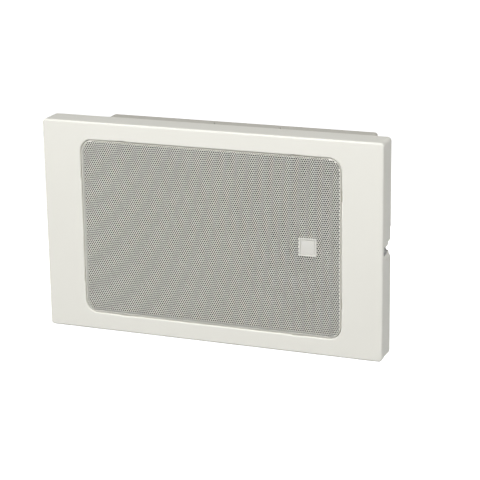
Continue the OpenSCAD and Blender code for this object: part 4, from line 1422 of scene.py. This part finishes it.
class Shown(Enum):
    """The solids that stay, by the slot that each takes its finish from."""
    ZINC = ("zinc", ("side_screws", "baffle_screws", "driver_screws", "transformer_bracket",
                     "transformer_screws", "block_screws"))
    BLACK_PAINT = ("black_paint", ("baffle_plate",))
    BOX_PAINT = ("box_paint", ("back_box",))
    RUBBER = ("rubber", ("cable_grommet",))
    BASKET = ("basket", ("driver_basket",))
    GASKET = ("gasket", ("rim_gasket",))
    PAPER = ("cone_paper", ("cone",))
    CAP = ("treated_cloth", ("dust_cap",))
    FORMER = ("kapton", ("coil_former",))
    WINDING = ("copper", ("coil_winding",))
    SPIDER = ("spider_cloth", ("spider",))
    IRON = ("iron", ("top_plate", "yoke"))
    FERRITE = ("ferrite", ("magnet",))
    STRIP = ("phenolic", ("terminal_strip",))
    CORE = ("lamination", ("transformer_core",))
    COIL = ("bobbin", ("transformer_coil",))
    BLOCK = ("block", ("terminal_block",))
    BRASS = ("brass", ("terminal_plates", "terminal_screws"))
    WIRES = ("wire", ("hookup_wires",))


def dress_solids() -> None:
    """Gives every solid that stays its finish."""
    for group in Shown:
        slot, names = group.value
        for name in names:
            dress(frame["nodes"][name], slot)
        LOG.info("%s: %s", slot, ", ".join(names))


@dataclass(frozen=True)
class Softbox:
    """A square light that faces a point on the object: place in m, side in m, watts."""
    name: str
    place: tuple[float, float, float]
    side: float
    power: float
    target: tuple[float, float, float] = (0.0, -0.06, 0.0)

    def build(self) -> None:
        """Hangs the light."""
        lamp = bpy.data.lights.new(self.name, "AREA")
        lamp.shape, lamp.size, lamp.energy = "SQUARE", self.side, self.power
        holder = bpy.data.objects.new(self.name, lamp)
        holder.location = self.place
        toward = Vector(self.target) - Vector(self.place)
        holder.rotation_euler = toward.to_track_quat("-Z", "Y").to_euler()
        bpy.context.scene.collection.objects.link(holder)


@dataclass(frozen=True)
class Studio:
    """The camera at the photograph's place, a pale room with a plain floor, and soft light.

    Places are in metres and turns in degrees; sensor and lens are in mm. The room reaches
    room_half to each side of the object, and as far up from its floor.
    """
    camera_place: tuple[float, float, float] = (0.523891, -1.379353, 0.420519)
    camera_turn: tuple[float, float, float] = (74.7627, 0.8101, 20.7101)
    sensor: float = 36.0
    lens: float = 127.249
    shift: float = -0.1
    clip_end: float = 100.0
    ambient: float = 0.174
    floor_level: float = -0.6
    room_half: float = 10.0
    floor_shade: tuple[float, ...] = (0.8, 0.8, 0.8, 1.0)
    floor_roughness: float = 0.9
    lights: tuple[Softbox, ...] = (
        Softbox("high", (-0.3, -1.9, 1.1), 1.6, 7.9),
        Softbox("left", (-0.9, -1.9, 0.9), 1.6, 6.9),
        Softbox("right", (0.4, -1.9, 1.0), 1.4, 11.0),
        Softbox("front", (-0.2, -2.4, 0.3), 1.6, 10.7),
        Softbox("near", (-0.2, -0.75, 1.1), 0.7, 6.2),
        Softbox("side", (1.7, -0.2, 0.2), 1.2, 6.6),
        Softbox("high_side", (1.5, -0.1, 1.0), 1.0, 5.8),
        Softbox("other_side", (-1.7, 0.2, -0.6), 1.2, 9.0),
        Softbox("back", (-0.3, 1.9, -0.8), 1.3, 34.0))

    def build_camera(self) -> None:
        """Places the camera."""
        data = bpy.data.cameras.new("view")
        data.sensor_width, data.lens, data.shift_y = self.sensor, self.lens, self.shift
        data.clip_end = self.clip_end
        camera = bpy.data.objects.new("view", data)
        camera.location = self.camera_place
        camera.rotation_euler = Euler([math.radians(angle) for angle in self.camera_turn])
        bpy.context.scene.collection.objects.link(camera)
        bpy.context.scene.camera = camera

    def build_room(self) -> None:
        """Stands a pale room round the object, whose floor is plain.

        The room is seen but casts no light of its own: that comes from the softboxes and from
        an even light all round.
        """
        half, level = self.room_half, self.floor_level
        corners = np.array([(x, y, z) for z in (level, level + half) for y in (-half, half)
                            for x in (-half, half)]) / MM
        lying = np.column_stack((corners[:, 0], corners[:, 2], -corners[:, 1]))
        sides = np.array([(0, 1, 3, 2), (4, 6, 7, 5), (0, 4, 5, 1), (2, 3, 7, 6), (0, 2, 6, 4),
                          (1, 5, 7, 3)])
        room = make_piece("room", lying, [sides])
        graph = Graph("room")
        room.data.materials.append(graph.finish({
            "Base Color": self.floor_shade, "Roughness": self.floor_roughness,
            "Emission Color": WHITE, "Emission Strength": 1.0}))
        room.visible_diffuse = room.visible_glossy = room.visible_shadow = False

    def build_light(self) -> None:
        """Sets an even light all round and hangs the softboxes."""
        world = bpy.data.worlds.new("ambient")
        bpy.context.scene.world = world
        world.use_nodes = True
        even = world.node_tree.nodes["Background"]
        even.inputs["Color"].default_value = WHITE
        even.inputs["Strength"].default_value = self.ambient
        for light in self.lights:
            light.build()

    def build(self) -> None:
        """Sets up the whole studio and a plain rendering of its colours."""
        self.build_camera()
        self.build_room()
        self.build_light()
        view = bpy.context.scene.view_settings
        view.view_transform, view.look, view.exposure, view.gamma = "Standard", "None", 0.0, 1.0


def main() -> None:
    """Builds the studio and then the loudspeaker, from the front to the back."""
    logging.basicConfig(level=logging.INFO, format="%(name)s: %(message)s")
    Studio().build()
    FrontPanel().build()
    sheets = PerforatedGrille().build()
    Badge().build()
    AcousticCloth().build([sheet.name for sheet in sheets[:-1]])
    for part in (FoamFrame(), MouthSeal(), FeltPad(), DriverSoftParts()):
        part.build()
    dress_solids()


if __name__ == "__main__":
    main()
